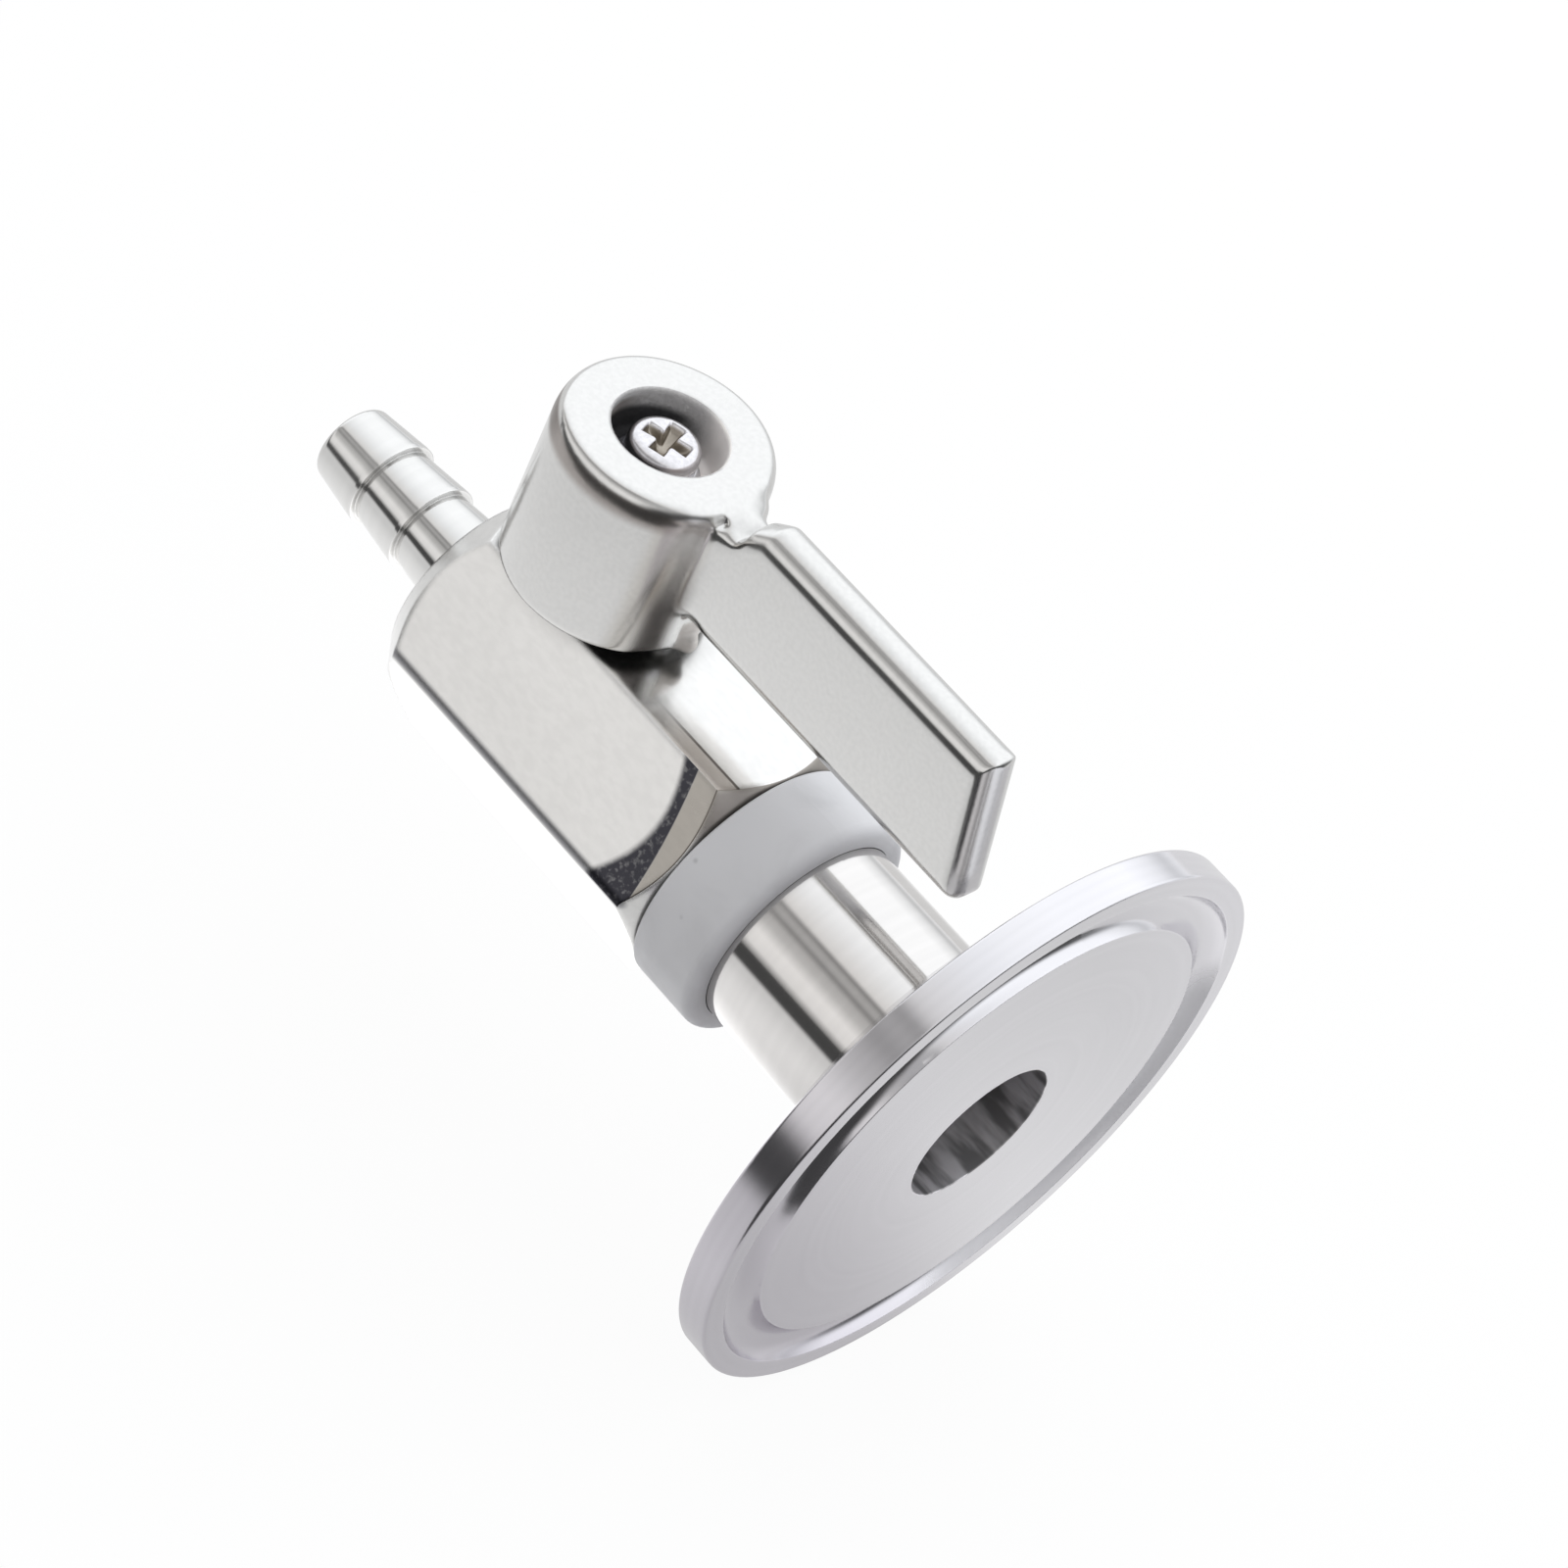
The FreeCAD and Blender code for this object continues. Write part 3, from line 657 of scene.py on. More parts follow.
def rework(material, mask, tint, rougher, dull=0.0, blend="MULTIPLY"):
    """Where the mask is 1, steel takes a tint, gets rougher and may lose some of its shine."""
    tree = material.node_tree
    surface = tree.nodes["Principled BSDF"]
    paint, rough = (surface.inputs[key].links[0].from_socket for key in ("Base Color", "Roughness"))
    where = mask(tree)
    paint = mix_colour(tree, where, paint, (*tint, 1.0), blend)
    plug(tree, paint, surface.inputs["Base Color"])
    rough = sum_node(tree, "MULTIPLY_ADD", where, rougher, rough, clamp=True)
    plug(tree, rough, surface.inputs["Roughness"])
    if dull:
        plug(tree, sum_node(tree, "MULTIPLY_ADD", where, -dull, 1.0), surface.inputs["Metallic"])


origin, flow_axis, stem_axis = (0.0, 0.0, 0.0), (1.0, 0.0, 0.0), (0.0, 0.0, 1.0)
to_tail, to_front, downwards = (-1.0, 0.0, 0.0), (0.0, -1.0, 0.0), (0.0, 0.0, -1.0)
print("materials can be reworked")

# %% [markdown]
# ## Places on the ferrule
# The way through is bored and left rough. The light that falls into it in streaks is painted into
# its colour: the bore is lighter, with darker streaks. The disc has painted light at its far upper
# edge, towards the window, and painted shade near the floor. The far low wall of the gasket
# groove stays matt, because the polishing wheel rides over it.

# %% Rework the ferrule
groove_outer, groove_inner = 23.44, 21.9
# Painted light: the bore is lighter, with darker streaks along it.
for name, radius in (("ferrule_flange", 6.35), ("ferrule_neck", 7.5)):
    bore_light = in_bore(origin, flow_axis, radius)
    rework(finishes[name], bore_light, (1.28, 1.27, 1.26), 0.3)
    rework(finishes[name], all_of(bore_light, streaked(3.2)), (0.3, 0.3, 0.3), 0.05)
flange = finishes["ferrule_flange"]
far_up, near_down, far_down = (0.0, 0.8, 0.6), (0.0, -0.8, -0.6), (0.0, 0.876, -0.482)
# Painted light at the disc's far upper edge, painted shade low down near the floor.
rework(flange, beyond(far_up, 12, 26), (1.15, 1.15, 1.16), 0.0)
rework(flange, beyond(near_down, -2, 20), (0.84, 0.82, 0.85), 0.04)
groove_wall = less(in_bore(origin, flow_axis, groove_outer, softness=0.1),
                   in_bore(origin, flow_axis, groove_inner, softness=0.3))
low_groove = all_of(groove_wall, beyond(far_down, 15, 19), beyond(flow_axis, -1.6, -1.5))
rework(flange, low_groove, (0.8, 0.79, 0.82), 0.2, dull=0.85, blend="MIX")
print("ferrule reworked")

# %% [markdown]
# ## Places on the handle
# The hub's hollow is left as cast, sandy and dull. It's deep in shade on the side away from
# the blade, down to the washers, and lit on the other. Painted shade darkens the steel under the
# rolled rim and in the corner at the blade's root, and the rough nub is painted lighter.

# %% Rework the handle
handle = finishes["handle"]
hollow_radius, shade_side, lit_side = 4.6, (-0.875, -0.485, 0.0), (0.875, 0.485, 0.0)
sandy = in_bore(stem_place, stem_axis, hollow_radius, mottle=0.35)
rework(handle, sandy, (0.58, 0.57, 0.57), 0.5, dull=0.6, blend="MIX")
hollow = in_bore(stem_place, stem_axis, hollow_radius)
shaded = all_of(hollow, beyond(downwards, -24.2, -23.3), beyond(shade_side, 40.2, 42.8))
rework(handle, shaded, (0.12, 0.12, 0.125), 0.1)
rework(finishes["flat_washer"], shaded, (0.2, 0.2, 0.21), 0.2)
lit_wall = all_of(hollow, beyond(lit_side, -41.2, -39.2))
rework(handle, lit_wall, (1.0, 0.97, 0.95), 0.0, blend="MIX")
# Painted shade under the rolled rim.
painted_shade_under_rim = all_of(beyond(stem_axis, 22.7, 23.7), beyond(downwards, -24.9, -24.5),
                   beyond(to_tail, 40.6, 42.5), beyond(to_front, -2.0, 1.0))
rework(handle, painted_shade_under_rim, (0.62, 0.58, 0.56), 0.05)
rework(handle, all_of(painted_shade_under_rim, beyond(to_tail, 51.5, 54)), (0.56, 0.54, 0.53), 0.05)
# Painted shade in the low corner and the root fillet, painted light on the rough nub.
painted_handle_spots = {
    "low corner shade": ((-40.8, -3.2, 0.0), 0.5, 1.6, (-22, -15), (0.22, 0.21, 0.21), 0.12),
    "root fillet shade": ((-41.4, -4.0, 0.0), 1.5, 1.2, (-24.7, -24.3), (0.98, 0.955, 0.92), 0.0),
    "lit nub": ((-39.95, 0.35, 0.0), 1.1, 0.3, (-14.3, -13.6), (1.2, 1.16, 1.13), 0.45)}
for place, radius, softness, depths, tint, rougher in painted_handle_spots.values():
    painted_spot = all_of(in_bore(place, stem_axis, radius, softness), beyond(downwards, *depths))
    rework(handle, painted_spot, tint, rougher)
print("handle reworked")

# %% [markdown]
# ## Places on the body and the screw
# At the front of its upper side flats the hexagon turns dark past an arc, and then comes a duller
# brownish strip behind a fine dark line. The cone that turns the corners off is darker and
# brownish on top, which is painted shade. The near corner is a dark line of painted shade, and
# the top flat has two faint strips and a grinding line along its near edge. The screw's cross
# is darker and browner.

# %% Rework the body and the screw
body = finishes["valve_body"]
sides = on_faces("Side")
dull_end = all_of(sides, past_the_arc("Dull"))
dark_band = less(all_of(sides, past_the_arc("Beyond")), dull_end)
end_line = all_of(sides, past_the_arc(
    "Beyond", Corner_share=0.87, Start=-18.63 * MM, End=-18.57 * MM, Mottle=0.0))
upper_cone_shade = all_of(on_faces("Cone"), beyond(flow_axis, -29, -28.9), beyond(stem_axis, 5, 8))
near_corner_shade = in_bore((0.0, -11.4, 0.22), flow_axis, 0.1, softness=0.55)
rework(body, dark_band, (0.075, 0.075, 0.09), 0.1)
rework(body, dull_end, (0.6, 0.57, 0.53), 0.1)
rework(body, end_line, (0.3, 0.28, 0.27), 0.0)
# Painted shade: the cone darker and brownish on top.
rework(body, upper_cone_shade, (0.5, 0.47, 0.44), 0.1)
# Painted shade: a soft dark line along the near corner.
rework(body, near_corner_shade, (0.42, 0.42, 0.44), 0.0)
on_top = all_of(beyond(stem_axis, 9.93, 9.99), beyond(flow_axis, -38, -32))
for edges, tint in (((2.2, 3.1), (0.84, 0.82, 0.80)), ((4.2, 4.4), (0.75, 0.71, 0.68))):
    rework(body, all_of(on_top, beyond(to_front, *edges)), tint, 0.0)
grinding_line = in_bore((0.0, -4.2, 10), flow_axis, 0.06, softness=0.12)
rework(body, all_of(on_top, grinding_line), (0.2, 0.18, 0.17), 0.0)
# The cross is darker and browner.
in_cross = all_of(in_bore(stem_place, stem_axis, 2.1), beyond(downwards, -24.6, -24.3))
rework(finishes["handle_screw"], in_cross, (0.6, 0.55, 0.46), 0.15)
print("body and screw reworked")

# %% [markdown]
# ## The plastics and rubber
# The collar is a moulded ring of matt white plastic that greys in the shade, with tiny pits
# from the mould. The seats, the thrust washer and the thread tape are waxy white, and the
# sealing rings are dark rubber. None of them is metal, so light goes a little way in.

# %% Plastic recipe
def plastic(name, colour, roughness, waves, pits, depth):
    """Moulded plastic or rubber with a fine skin, pits, uneven tone and creases in painted shade.
    """
    tone, cloud_size, edge_reach, film = 0.05, 140.0, 0.25 * MM, 0.08
    pit_gain, crease_shade_gain, edge_gain = 0.35, 0.7, 1.1
    material, tree, surface = start_material(name)
    skin = group_node(tree, cast_skin, Waves=waves, Pits=pits)
    cloud = group_node(tree, smudges, Size=cloud_size).outputs["Film"]
    crease = group_node(tree, crease_shade).outputs["Crease"]
    edge = group_node(tree, edge_wear, Radius=edge_reach).outputs["Edge"]
    paint = mix_colour(tree, cloud, shade(colour, 1 + tone), shade(colour, 1 - tone))
    paint = mix_colour(tree, skin.outputs["Pit"], paint, shade(colour, pit_gain))
    # Painted shade: the creases darken the colour.
    paint = mix_colour(tree, crease, paint, shade(colour, crease_shade_gain))
    paint = mix_colour(tree, edge, paint, shade(colour, edge_gain))
    plug(tree, paint, surface.inputs["Base Color"])
    rough = sum_node(tree, "MULTIPLY_ADD", cloud, film, roughness)
    rough = sum_node(tree, "MULTIPLY_ADD", edge, -film, rough, clamp=True)
    plug(tree, rough, surface.inputs["Roughness"])
    bump = add_node(tree, "ShaderNodeBump", {
        "Height": skin.outputs["Height"], "Distance": depth, "Strength": 1.0})
    plug(tree, bump.outputs["Normal"], surface.inputs["Normal"])
    surface.inputs["IOR"].default_value = 1.45
    return material


collar_grey = (0.67, 0.67, 0.69)
wax_white = (0.78, 0.77, 0.74)
rubber_black = (0.03, 0.03, 0.032)
finishes["sealing_collar"] = plastic("collar_plastic", collar_grey, 0.5, 700.0, 500.0, 0.03 * MM)
finishes["thread_tape"] = plastic("tape_plastic", wax_white, 0.5, 1200.0, 900.0, 0.03 * MM)
seat_finish = plastic("seat_plastic", wax_white, 0.35, 600.0, 900.0, 0.01 * MM)
rubber_finish = plastic("seal_rubber", rubber_black, 0.55, 1500.0, 1200.0, 0.01 * MM)
for name in ("seat_tail_side", "seat_ferrule_side", "thrust_washer"):
    finishes[name] = seat_finish
for name in ("tail_seal_ring", "stem_seal_lower", "stem_seal_upper"):
    finishes[name] = rubber_finish
print("finishes:", len(finishes), "of", len(nodes), "pieces")

# %% [markdown]
# ## Give every piece its finish
# The solids keep their shapes. Only the material in their slots changes.

# %% Assign
for name, piece in nodes.items():
    for slot in piece.material_slots:
        slot.material = finishes[name]
print("dressed:", sorted(nodes))

# %% [markdown]
# ## Working copies
# The hub and blade are cast in one, and every corner of a casting is rounded. The solid is
# crisp, so the handle gets a copy that may be reworked, and the copy stands in for the solid.
# Two helpers do the routine: one copies a solid, one runs a modifier and keeps its result.

# %% Copy a solid, run a modifier
def copy_solid(node, name):
    """A free copy of a solid's mesh under its own name."""
    return add_object(name, nodes[node].data.copy())


def run_modifier(piece, kind, **settings):
    """Run one modifier on a piece and keep what it makes."""
    modifier = piece.modifiers.new(kind.lower(), kind)
    for key, value in settings.items():
        setattr(modifier, key, value)
    graph = bpy.context.evaluated_depsgraph_get()
    result = bpy.data.meshes.new_from_object(piece.evaluated_get(graph))
    piece.modifiers.clear()
    piece.data = result
    return len(result.vertices)


def move_points(piece, rule):
    """Move each point of a piece by a rule that works in millimetres."""
    for vertex in piece.data.vertices:
        vertex.co = rule(vertex.co / MM) * MM
    piece.data.update()


coarse_voxel, fine_voxel = 0.22 * MM, 0.15 * MM
casting = copy_solid("handle", "lever_casting")
print("evenly meshed:", run_modifier(casting, "REMESH", mode="VOXEL", voxel_size=coarse_voxel))

# %% [markdown]
# ## The hub's rolled rim
# The top of the hub rolls over in a wide soft round, flatter on top than down the side. A
# quarter of an ellipse has that shape. Points that stand above it are let down onto it, except
# towards the blade, where the rim runs out into the lip.

# %% Roll the rim
hub_centre = Vector(stem_place)
hub_top, hub_wall = 25.5, 8.45
roll_width, roll_height, roll_end = 0.95, 2.1, 10.4
lip_top, lip_centre, lip_width, lip_dome = 24.7, Vector((-40.3, 0.9)), 2.6, 0.55
lip_side, lip_gone, lip_sink = 14, 26, 2


def smooth_share(value, low, high):
    """0 below low, 1 above high, and a soft rise between them."""
    share = min(max((value - low) / (high - low), 0.0), 1.0)
    return share * share * (3 - 2 * share)


def roll_rim(point):
    """Let a point of the hub's top down onto the rolled rim, or onto the lip's dome."""
    offset = point - hub_centre
    out = math.hypot(offset.x, offset.y)
    if point.z < hub_top - roll_height or not hub_wall - roll_width < out < roll_end:
        return point
    along = min((out - hub_wall + roll_width) / roll_width, 1.0)
    ceiling = hub_top - roll_height * (1 - math.sqrt(1 - along * along))
    bearing = abs(math.degrees(math.atan2(offset.y, offset.x)))
    spread = min((point.xy - lip_centre).length / lip_width, 1.0)
    dome = lip_top - lip_dome * spread * spread
    ceiling = max(ceiling, dome - lip_sink * smooth_share(bearing, lip_side, lip_gone))
    return Vector((point.x, point.y, min(point.z, ceiling)))


move_points(casting, roll_rim)
print("rim rolled over", roll_height, "mm")

# %% [markdown]
# ## The blade's crown
# The blade's upper edge is no flat with two small rounds: light runs over it in stripes, as it
# does over a half round. The same trick lowers the points onto an ellipse across the blade's
# thickness, and a second one pulls in the blade's end.

# %% Crown the blade
half_blade, crown_height, end_crown = 1.95, 2.0, 1.4
crown_start, crown_full, crown_floor = -40.5, -38.0, 15
blade_foot = 15.05
blade_height = blade_crest - blade_foot
blade_end, end_slant = -9.6, 2.7
shoulder_end, shoulder_run, shoulder_drop = -36.1, 3.9, 2.65


def blade_top(x):
    """Height of the blade's upper edge, which climbs from the hub over a shoulder."""
    return blade_crest - shoulder_drop * min(max((shoulder_end - x) / shoulder_run, 0.0), 1.0)


def crown_blade(point):
    """Pull a point of the blade in under the rounds of its upper edge and its end."""
    if point.x < crown_start or point.z < crown_floor:
        return point
    sink = 1 - math.sqrt(max(1 - (point.y / half_blade) ** 2, 0.0))
    end = blade_end - end_slant * (point.z - blade_foot) / blade_height
    share = smooth_share(point.x, crown_start, crown_full)
    height = min(point.z, blade_top(point.x) - crown_height * sink * share)
    return Vector((min(point.x, end - end_crown * sink), point.y, height))


move_points(casting, crown_blade)
print("blade crowned by", crown_height, "mm")

# %% [markdown]
# ## The lip
# Where the rim meets the blade, the cast metal has run into a lumpy drip. Rounded lumps are
# laid into the corner, and one more voxel remesh melts them and the handle into one skin.

# %% Lay the lumps and melt them in
lumps = [((-40.3, 0.6, 24.0), (1.9, 2.0, 1.1)), ((-41.1, 1.9, 23.9), (1.7, 1.9, 1.1)),
         ((-39.6, 0.3, 23.9), (1.4, 1.6, 0.9)), ((-41.0, -0.6, 23.9), (1.4, 1.5, 1.1))]
shape = bmesh.new()
shape.from_mesh(casting.data)
for centre, radii in lumps:
    stretch = Matrix.Diagonal(Vector(radii) * MM).to_4x4()
    bmesh.ops.create_icosphere(
        shape, subdivisions=4, radius=1.0, matrix=Matrix.Translation(Vector(centre) * MM) @ stretch)
shape.to_mesh(casting.data)
shape.free()
count = run_modifier(
    casting, "REMESH", mode="VOXEL", voxel_size=fine_voxel, use_smooth_shade=True)
print("one skin of", count, "points")

# %% [markdown]
# ## Soften it
# A light smoothing rounds every edge a little. The corner between the hub and the blade gets
# far more, limited by a vertex group, because the pattern maker filled it with a wide round.
# Last come a dimple beside the lip and a slight unevenness, as on any casting.

# %% Smooth
root_x, root_y, root_core, root_reach = 8.3, 2.3, 1.0, 2.6
lip_middle, lip_core, lip_reach = Vector((-39.9, 0.5, 24.4)), 2.4, 4.0
root_steps, lip_steps, overall_steps = 90, 60, 9


def root_share(point):
    """1 in the corners between hub and blade, 0 away from them."""
    offset = point - hub_centre
    away = math.hypot(offset.x - root_x, abs(offset.y) - root_y)
    return 1 - smooth_share(away, root_core, root_reach)


def lip_share(point):
    """1 on the lip, 0 away from it."""
    return 1 - smooth_share((point - lip_middle).length, lip_core, lip_reach)


def soften(share_of, iterations):
    """Smooth the part of the casting that a share picks out."""
    picked = casting.vertex_groups.new(name="picked")
    for vertex in casting.data.vertices:
        share = share_of(vertex.co / MM)
        if share > 0:
            picked.add([vertex.index], share, "REPLACE")
    run_modifier(casting, "SMOOTH", factor=0.5, iterations=iterations, vertex_group="picked")
    casting.vertex_groups.clear()


soften(root_share, root_steps)
soften(lip_share, lip_steps)
run_modifier(casting, "SMOOTH", factor=0.5, iterations=overall_steps)
print("smoothed", root_steps, "times at the root,", lip_steps, "at the lip")

# %% Dent and ripple
lip_ripple, lip_waves, cast_ripple, cast_waves = 0.07, 0.8, 0.02, 0.22
dimple_depth, dimple_radius, dimple_push = 0.55, 0.4, Vector((0.0, 0.7, -0.5))
dimple = casting.closest_point_on_mesh(Vector((-40.5, -1.6, 24.3)) * MM)[1] / MM


def age(point):
    """Ripple the skin a little, and push in the dimple beside the lip."""
    ripple = noise.noise(point * lip_waves) * lip_ripple * lip_share(point)
    ripple += noise.noise(point * cast_waves) * cast_ripple
    dent = dimple_depth * math.exp(-((point - dimple).length / dimple_radius) ** 2)
    return point + dimple_push * dent + Vector((0.0, 0.0, 1.0)) * ripple


move_points(casting, age)
print("dimple at", [round(part, 2) for part in dimple])

# %% Hand the casting over
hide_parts("handle")
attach(casting, "lever")
casting.data.materials.clear()
casting.data.materials.append(finishes["handle"])
casting.data.shade_smooth()
print("casting:", len(casting.data.vertices), "points")

# %% [markdown]
# ## The screw's head
# The screw has a low pan head whose cross recess was punched cold: its arms flare, its corners
# are rounded, and its walls lean. That is a height over a disc, so the head is made as rings of
# points, and each point is pushed down by the depth of the recess there. The shank below it is
# hidden in the stem, and gets its thread as ridges.

# %% Shape of the head and its recess
head_radius = round(screw_highest[0] - stem_place[0], 3)
head_top, head_height = screw_highest[2], 1.9
head_foot = head_top - head_height
cross_turn = math.radians(21)
arm_half_width, arm_flare, arm_length, corner_blend = 0.46, 0.12, 1.9, 0.3
deepest, deepness_loss, shallowest = 1.3, 0.25, 0.45
wall_foot, wall_edge = -0.3, 0.1


def recess_depth(x, y):
    """Depth of the cross at a point of the head, in millimetres."""
    along = abs(x * math.cos(cross_turn) + y * math.sin(cross_turn))
    across = abs(y * math.cos(cross_turn) - x * math.sin(cross_turn))
    arms = [max(b - arm_half_width - arm_flare * a, a - arm_length)
            for a, b in ((along, across), (across, along))]
    step = max(corner_blend - abs(arms[0] - arms[1]), 0.0) / corner_blend
    distance = min(arms) - step * step * corner_blend / 4
    depth = max(deepest - deepness_loss * (x * x + y * y), shallowest)
    return depth * (1 - smooth_share(distance, wall_foot, wall_edge))


def round_drop(radius, start, width, height):
    """How far a pan head's rounded shoulder has dropped at a radius."""
    along = min(max((radius - start) / width, 0.0), 1.0)
    return height * (1 - math.sqrt(1 - along * along))


print("recess", round(recess_depth(0, 0), 2), "mm deep")

# %% Rings of the screw
round_start, round_width, round_height, foot_chamfer = 1.9, 0.9, 0.8, 0.12
thread_crest, thread_root, half_pitch, tip_radius = 1.5, 1.28, 0.25, 0.9
tip_height = screw_lowest[2]
ring_step, crown_rings, thread_start, thread_rings, segments = 0.05, 56, 0.2, 29, 144
crown = [(radius, head_top - round_drop(radius, round_start, round_width, round_height))
         for radius in (ring_step * step for step in range(1, crown_rings + 1))]
flank = [(head_radius, head_foot + foot_chamfer), (head_radius - foot_chamfer, head_foot),
         (thread_crest, head_foot)]
thread = [(thread_crest if step % 2 else thread_root,
           head_foot - thread_start - half_pitch * step) for step in range(thread_rings)]
profile = crown + flank + thread + [(tip_radius, tip_height), (ring_step, tip_height)]
print("rings:", len(profile))

# %% Screw
points = []
for ring, (radius, height) in enumerate(profile):
    for step in range(segments):
        turn_angle = 2 * math.pi * step / segments
        x, y = radius * math.cos(turn_angle), radius * math.sin(turn_angle)
        sunk = recess_depth(x, y) if ring < len(crown) else 0.0
        points.append((hub_centre + Vector((x, y, height - sunk))) * MM)
faces = []
for ring in range(len(profile) - 1):
    for step in range(segments):
        after = (step + 1) % segments
        low, high = ring * segments, (ring + 1) * segments
        faces.append((low + step, high + step, high + after, low + after))
faces.append(tuple(range(segments)))
faces.append(tuple(reversed(range(len(points) - segments, len(points)))))
screw_mesh = bpy.data.meshes.new("cross_head_screw")
screw_mesh.from_pydata(points, [], faces)
screw_mesh.materials.append(finishes["handle_screw"])
screw_mesh.shade_smooth()
screw = add_object("cross_head_screw", screw_mesh)
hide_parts("handle_screw")
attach(screw, "lever")
print("screw:", len(points), "points")

# %% [markdown]
# ## The floor
# A white sheet lies under the valve. The camera sees it as pure white but for a trace of the
# shadow. To the steel it's a pool of light that greys outwards and ends before the valve, as
# the sheet on a small photo table does, and that end is the dark line in each round of steel.
# The pool is dimmer round the foot of the ferrule, which shades it.

# %% Floor
floor_z = cad_box[0].z
sheet_half = 3.0
floor_mesh = bpy.data.meshes.new("white_sheet")
floor_mesh.from_pydata(
    [(x * sheet_half, y * sheet_half, floor_z) for x, y in ((-1, -1), (1, -1), (1, 1), (-1, 1))],
    [], [(0, 1, 2, 3)])
floor = add_object("white_sheet", floor_mesh)
print("floor at", round(floor_z, 5))

# %% Pool of light
floor_paint, sheet, sheet_surface = start_material("sheet_white")
sheet.nodes.remove(sheet_surface)
spot = object_place(sheet)
spot_axes = split(sheet, spot)


def distance_to(x, y):
    """How far a spot of the sheet lies from a point on it, given in millimetres."""
    return vector_node(sheet, "DISTANCE", spot, (x * MM, y * MM, floor_z), output="Value")


pool_grey, pool_rim_grey, pool_heart, foot_grey, past_the_sheet = 1.08, 0.74, 0.55, 0.76, 0.07
corner_slant, pool_centre, ferrule_foot = -1.2, (-45, 5), (3, -10)
reach = distance_to(*pool_centre)
pool = sum_node(sheet, "ADD", ramp(sheet, reach, 15 * MM, 85 * MM, pool_grey, pool_rim_grey),
                ramp(sheet, reach, 32 * MM, 14 * MM, 0.0, pool_heart))
foot_shade = ramp(sheet, distance_to(*ferrule_foot), 6 * MM, 34 * MM, foot_grey, 1.0)
pool = sum_node(sheet, "MULTIPLY", pool, foot_shade)
front_edge = ramp(sheet, spot_axes["Y"], -125 * MM, -85 * MM)
slanted = sum_node(sheet, "MULTIPLY_ADD", spot_axes["X"], corner_slant, spot_axes["Y"])
corner_edge = ramp(sheet, slanted, -85 * MM, -65 * MM)
on_sheet = sum_node(sheet, "MINIMUM", front_edge, corner_edge)
shine = sum_node(sheet, "MULTIPLY_ADD", sum_node(sheet, "MULTIPLY", on_sheet, pool),
                 1 - past_the_sheet, past_the_sheet)
print("pool of light round", pool_centre)

# %% Paint of the floor
camera_glow, mirror_glow, paper_grey = 0.93, 0.8, 0.9
sheet_ray = add_node(sheet, "ShaderNodeLightPath").outputs
direct = sum_node(
    sheet, "MAXIMUM", sheet_ray["Is Camera Ray"], sheet_ray["Is Transmission Ray"])
glow_share = sum_node(
    sheet, "MULTIPLY_ADD", direct, camera_glow,
    sum_node(sheet, "MULTIPLY", sheet_ray["Is Glossy Ray"], mirror_glow), clamp=True)
seen_grey = sum_node(
    sheet, "MULTIPLY_ADD", sum_node(sheet, "SUBTRACT", 1.0, direct), shine, direct)
white = (1.0, 1.0, 1.0, 1.0)
matt = add_node(
    sheet, "ShaderNodeBsdfDiffuse",
    {"Color": sum_node(sheet, "MULTIPLY", seen_grey, paper_grey)})
glow = add_node(sheet, "ShaderNodeEmission", {"Color": white, "Strength": seen_grey})
laid = add_node(
    sheet, "ShaderNodeMixShader", {0: glow_share, 1: matt.outputs[0], 2: glow.outputs[0]})
plug(sheet, laid.outputs[0], sheet.nodes["Material Output"].inputs["Surface"])
floor_mesh.materials.append(floor_paint)
print("floor painted:", floor_paint.name)

# %% [markdown]
# ## The room
# Bright steel shows its room, so the room is half of the material. Seen along the flow axis,
# it's dark past the sheet's front edge, rises over a grey front wall to a bright ceiling, and
# is brightest in the big window behind. The angle round the flow axis picks the grey. Low
# down on the ferrule's side the room is dim, which darkens the steel's turned corners.

# %% World
world = bpy.data.worlds.new("studio_room")
bpy.context.scene.world = world
world.use_nodes = True
room = world.node_tree
room.nodes.clear()
direction = add_node(room, "ShaderNodeTexCoord").outputs["Generated"]
heading = split(room, direction)
nearer = sum_node(room, "MULTIPLY", heading["Y"], -1.0)
angle = sum_node(room, "ARCTAN2", heading["Z"], nearer)
turn_share = sum_node(room, "MULTIPLY_ADD", angle, 0.5 / math.pi, 0.5, clamp=True)
greys = add_node(room, "ShaderNodeValToRGB", {"Fac": turn_share})
stops = [(-180, 0.5), (-90, 0.2), (-40, 0.05), (-2, 0.05), (7, 0.44), (20, 0.48), (31, 0.3),
         (38, 0.26), (43, 0.13), (47, 0.24), (51, 0.23), (55, 0.12), (59, 0.42), (82, 0.54),
         (95, 0.6), (115, 0.65), (150, 0.65), (164, 0.52), (173, 0.34), (180, 0.5)]
ceiling_from, ceiling_cold, wall_warmth = 60, 0.02, -0.01
room_strength, ferrule_dimming, ferrule_grey = 2.0, 1.8, 0.26
elements = greys.color_ramp.elements
for number, (degrees, grey) in enumerate(stops):
    position = degrees / 360 + 0.5
    # A new ramp already has two stops.
    stop = elements[number] if number < 2 else elements.new(position)
    stop.position = position
    cold = ceiling_cold if degrees > ceiling_from else wall_warmth
    stop.color = (grey * (1 - cold), grey, grey * (1 + cold), 1.0)
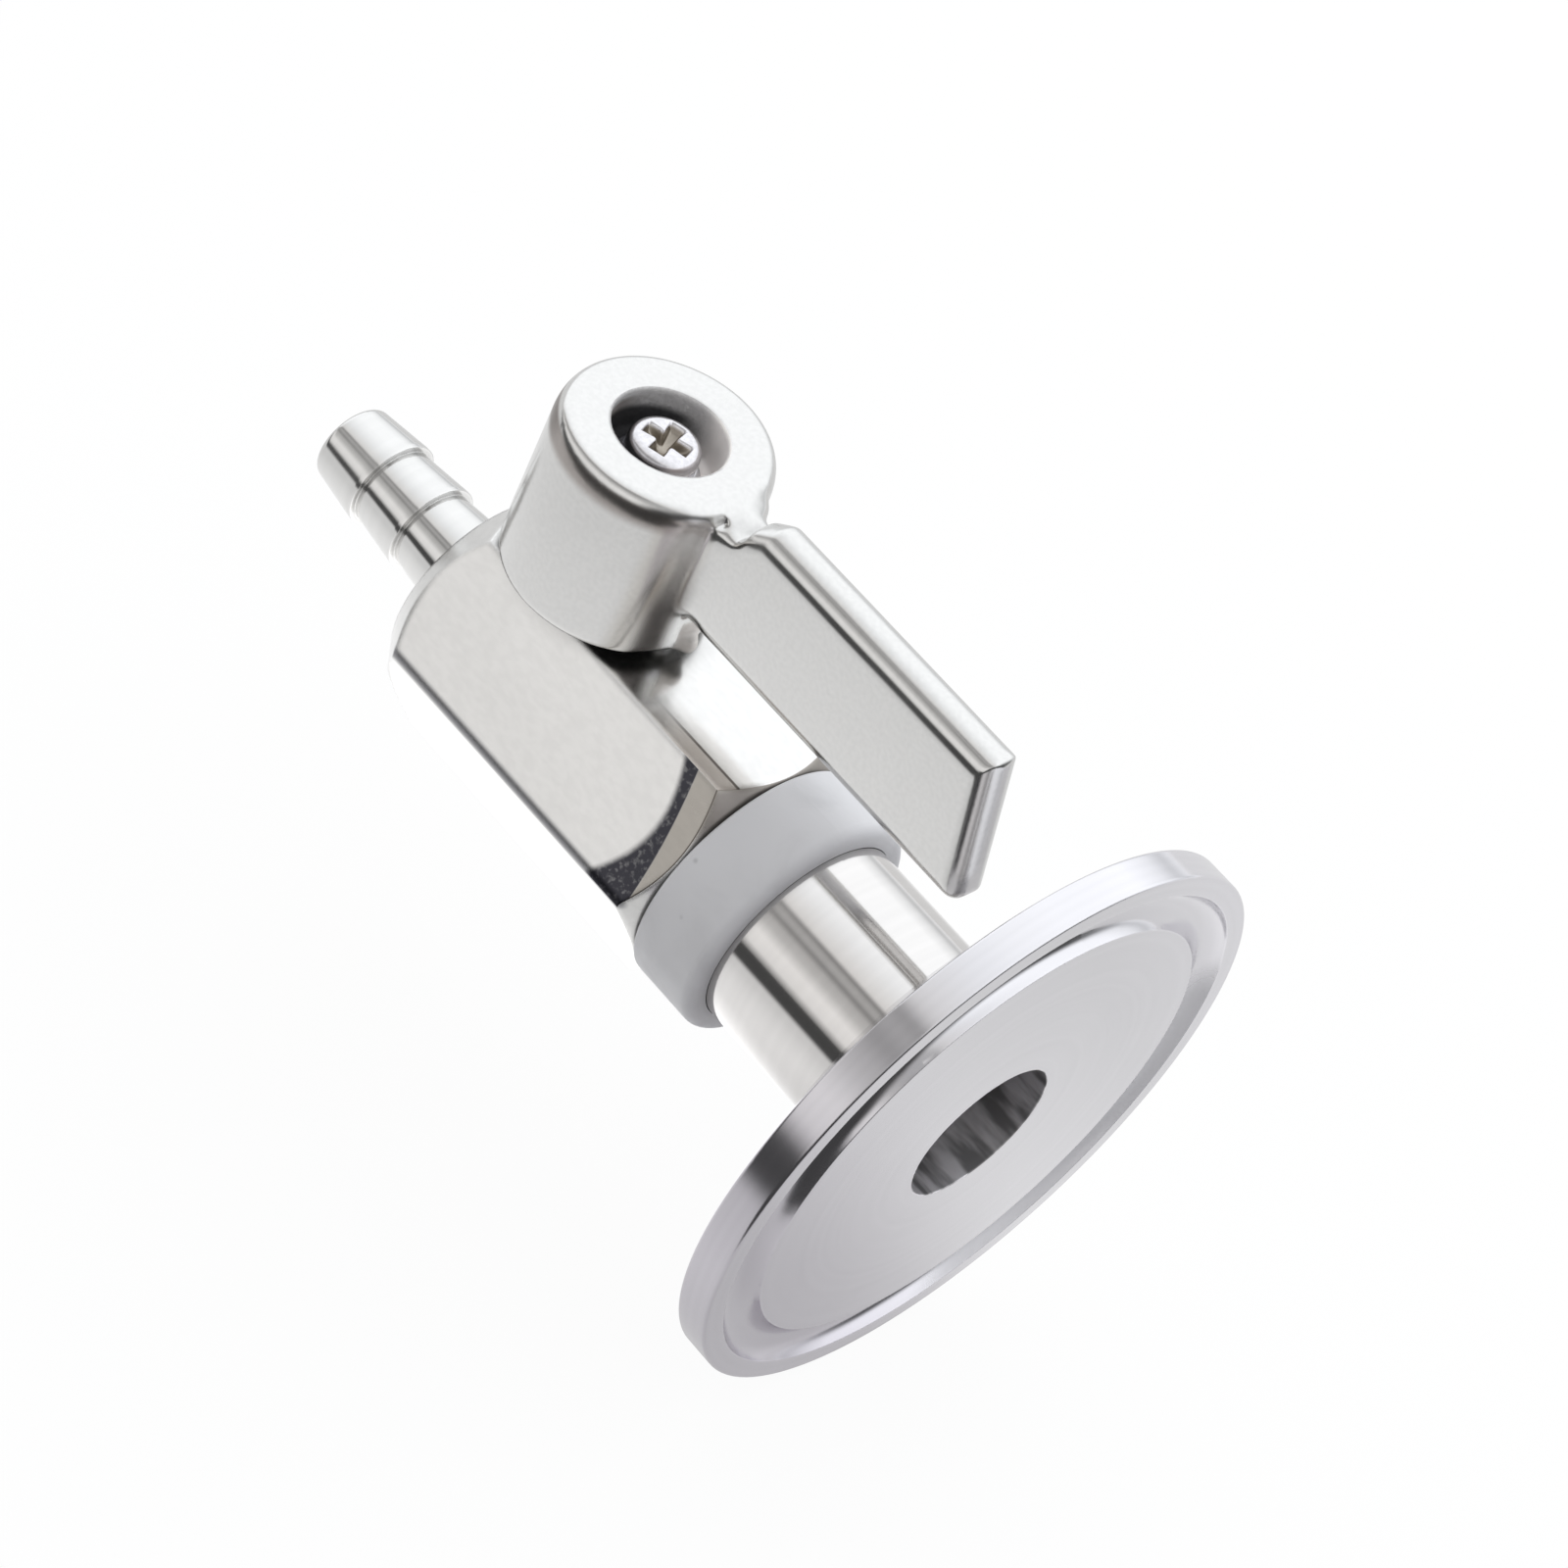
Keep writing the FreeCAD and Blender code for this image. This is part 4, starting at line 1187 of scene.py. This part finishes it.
low_down = ramp(room, heading["Z"], 0.45, 0.12)
dim = sum_node(room, "MULTIPLY", ramp(room, heading["X"], 0.45, 0.8), low_down)
strength = sum_node(room, "MULTIPLY_ADD", dim, -ferrule_dimming, room_strength)
lift = sum_node(room, "MULTIPLY", ramp(room, heading["X"], 0.2, 0.55), ferrule_grey)
lift_grey = add_node(
    room, "ShaderNodeCombineColor", {"Red": lift, "Green": lift, "Blue": lift}).outputs[0]
lifted = mix_colour(room, 1.0, greys.outputs["Color"], lift_grey, "LIGHTEN")
lit = add_node(room, "ShaderNodeBackground", {"Color": lifted, "Strength": strength})
plain = add_node(room, "ShaderNodeBackground", {"Color": white, "Strength": 1.0})
room_ray = add_node(room, "ShaderNodeLightPath").outputs
seen_room = add_node(room, "ShaderNodeMixShader", {
    0: room_ray["Is Camera Ray"], 1: lit.outputs[0], 2: plain.outputs[0]})
add_node(room, "ShaderNodeOutputWorld", {"Surface": seen_room.outputs[0]})
print("room stops:", len(elements))

# %% [markdown]
# ## The lamp
# One big soft lamp behind and above, like a window, gives the bright tops and a soft shadow.
# The steel doesn't mirror it, because the room already holds the window's image. The lamp's
# power follows from the brightness that a matt white piece would show under it.

# %% Lamp
lamp_side, lamp_distance, radiance = 0.3, 0.7, 2.6
lamp_aim = Vector((-35, 0, 5)) * MM
towards = Vector((-0.30, 0.72, 0.62)).normalized()
lamp_data = bpy.data.lights.new("window_behind", "AREA")
lamp_data.shape = "SQUARE"
lamp_data.size = lamp_side
lamp_data.energy = radiance * math.pi * lamp_side * lamp_side
lamp = add_object("window_behind", lamp_data)
facing_valve = towards.to_track_quat("Z", "Y").to_matrix().to_4x4()
lamp.matrix_world = Matrix.Translation(lamp_aim + towards * lamp_distance) @ facing_valve
lamp.visible_glossy = False
print("lamp radiance", radiance, "power", round(lamp_data.energy, 3))

# %% [markdown]
# ## The view transform
# The view transform stays plain, so that a colour comes out about as it's written.

# %% Finish
bpy.context.scene.view_settings.view_transform = "Standard"
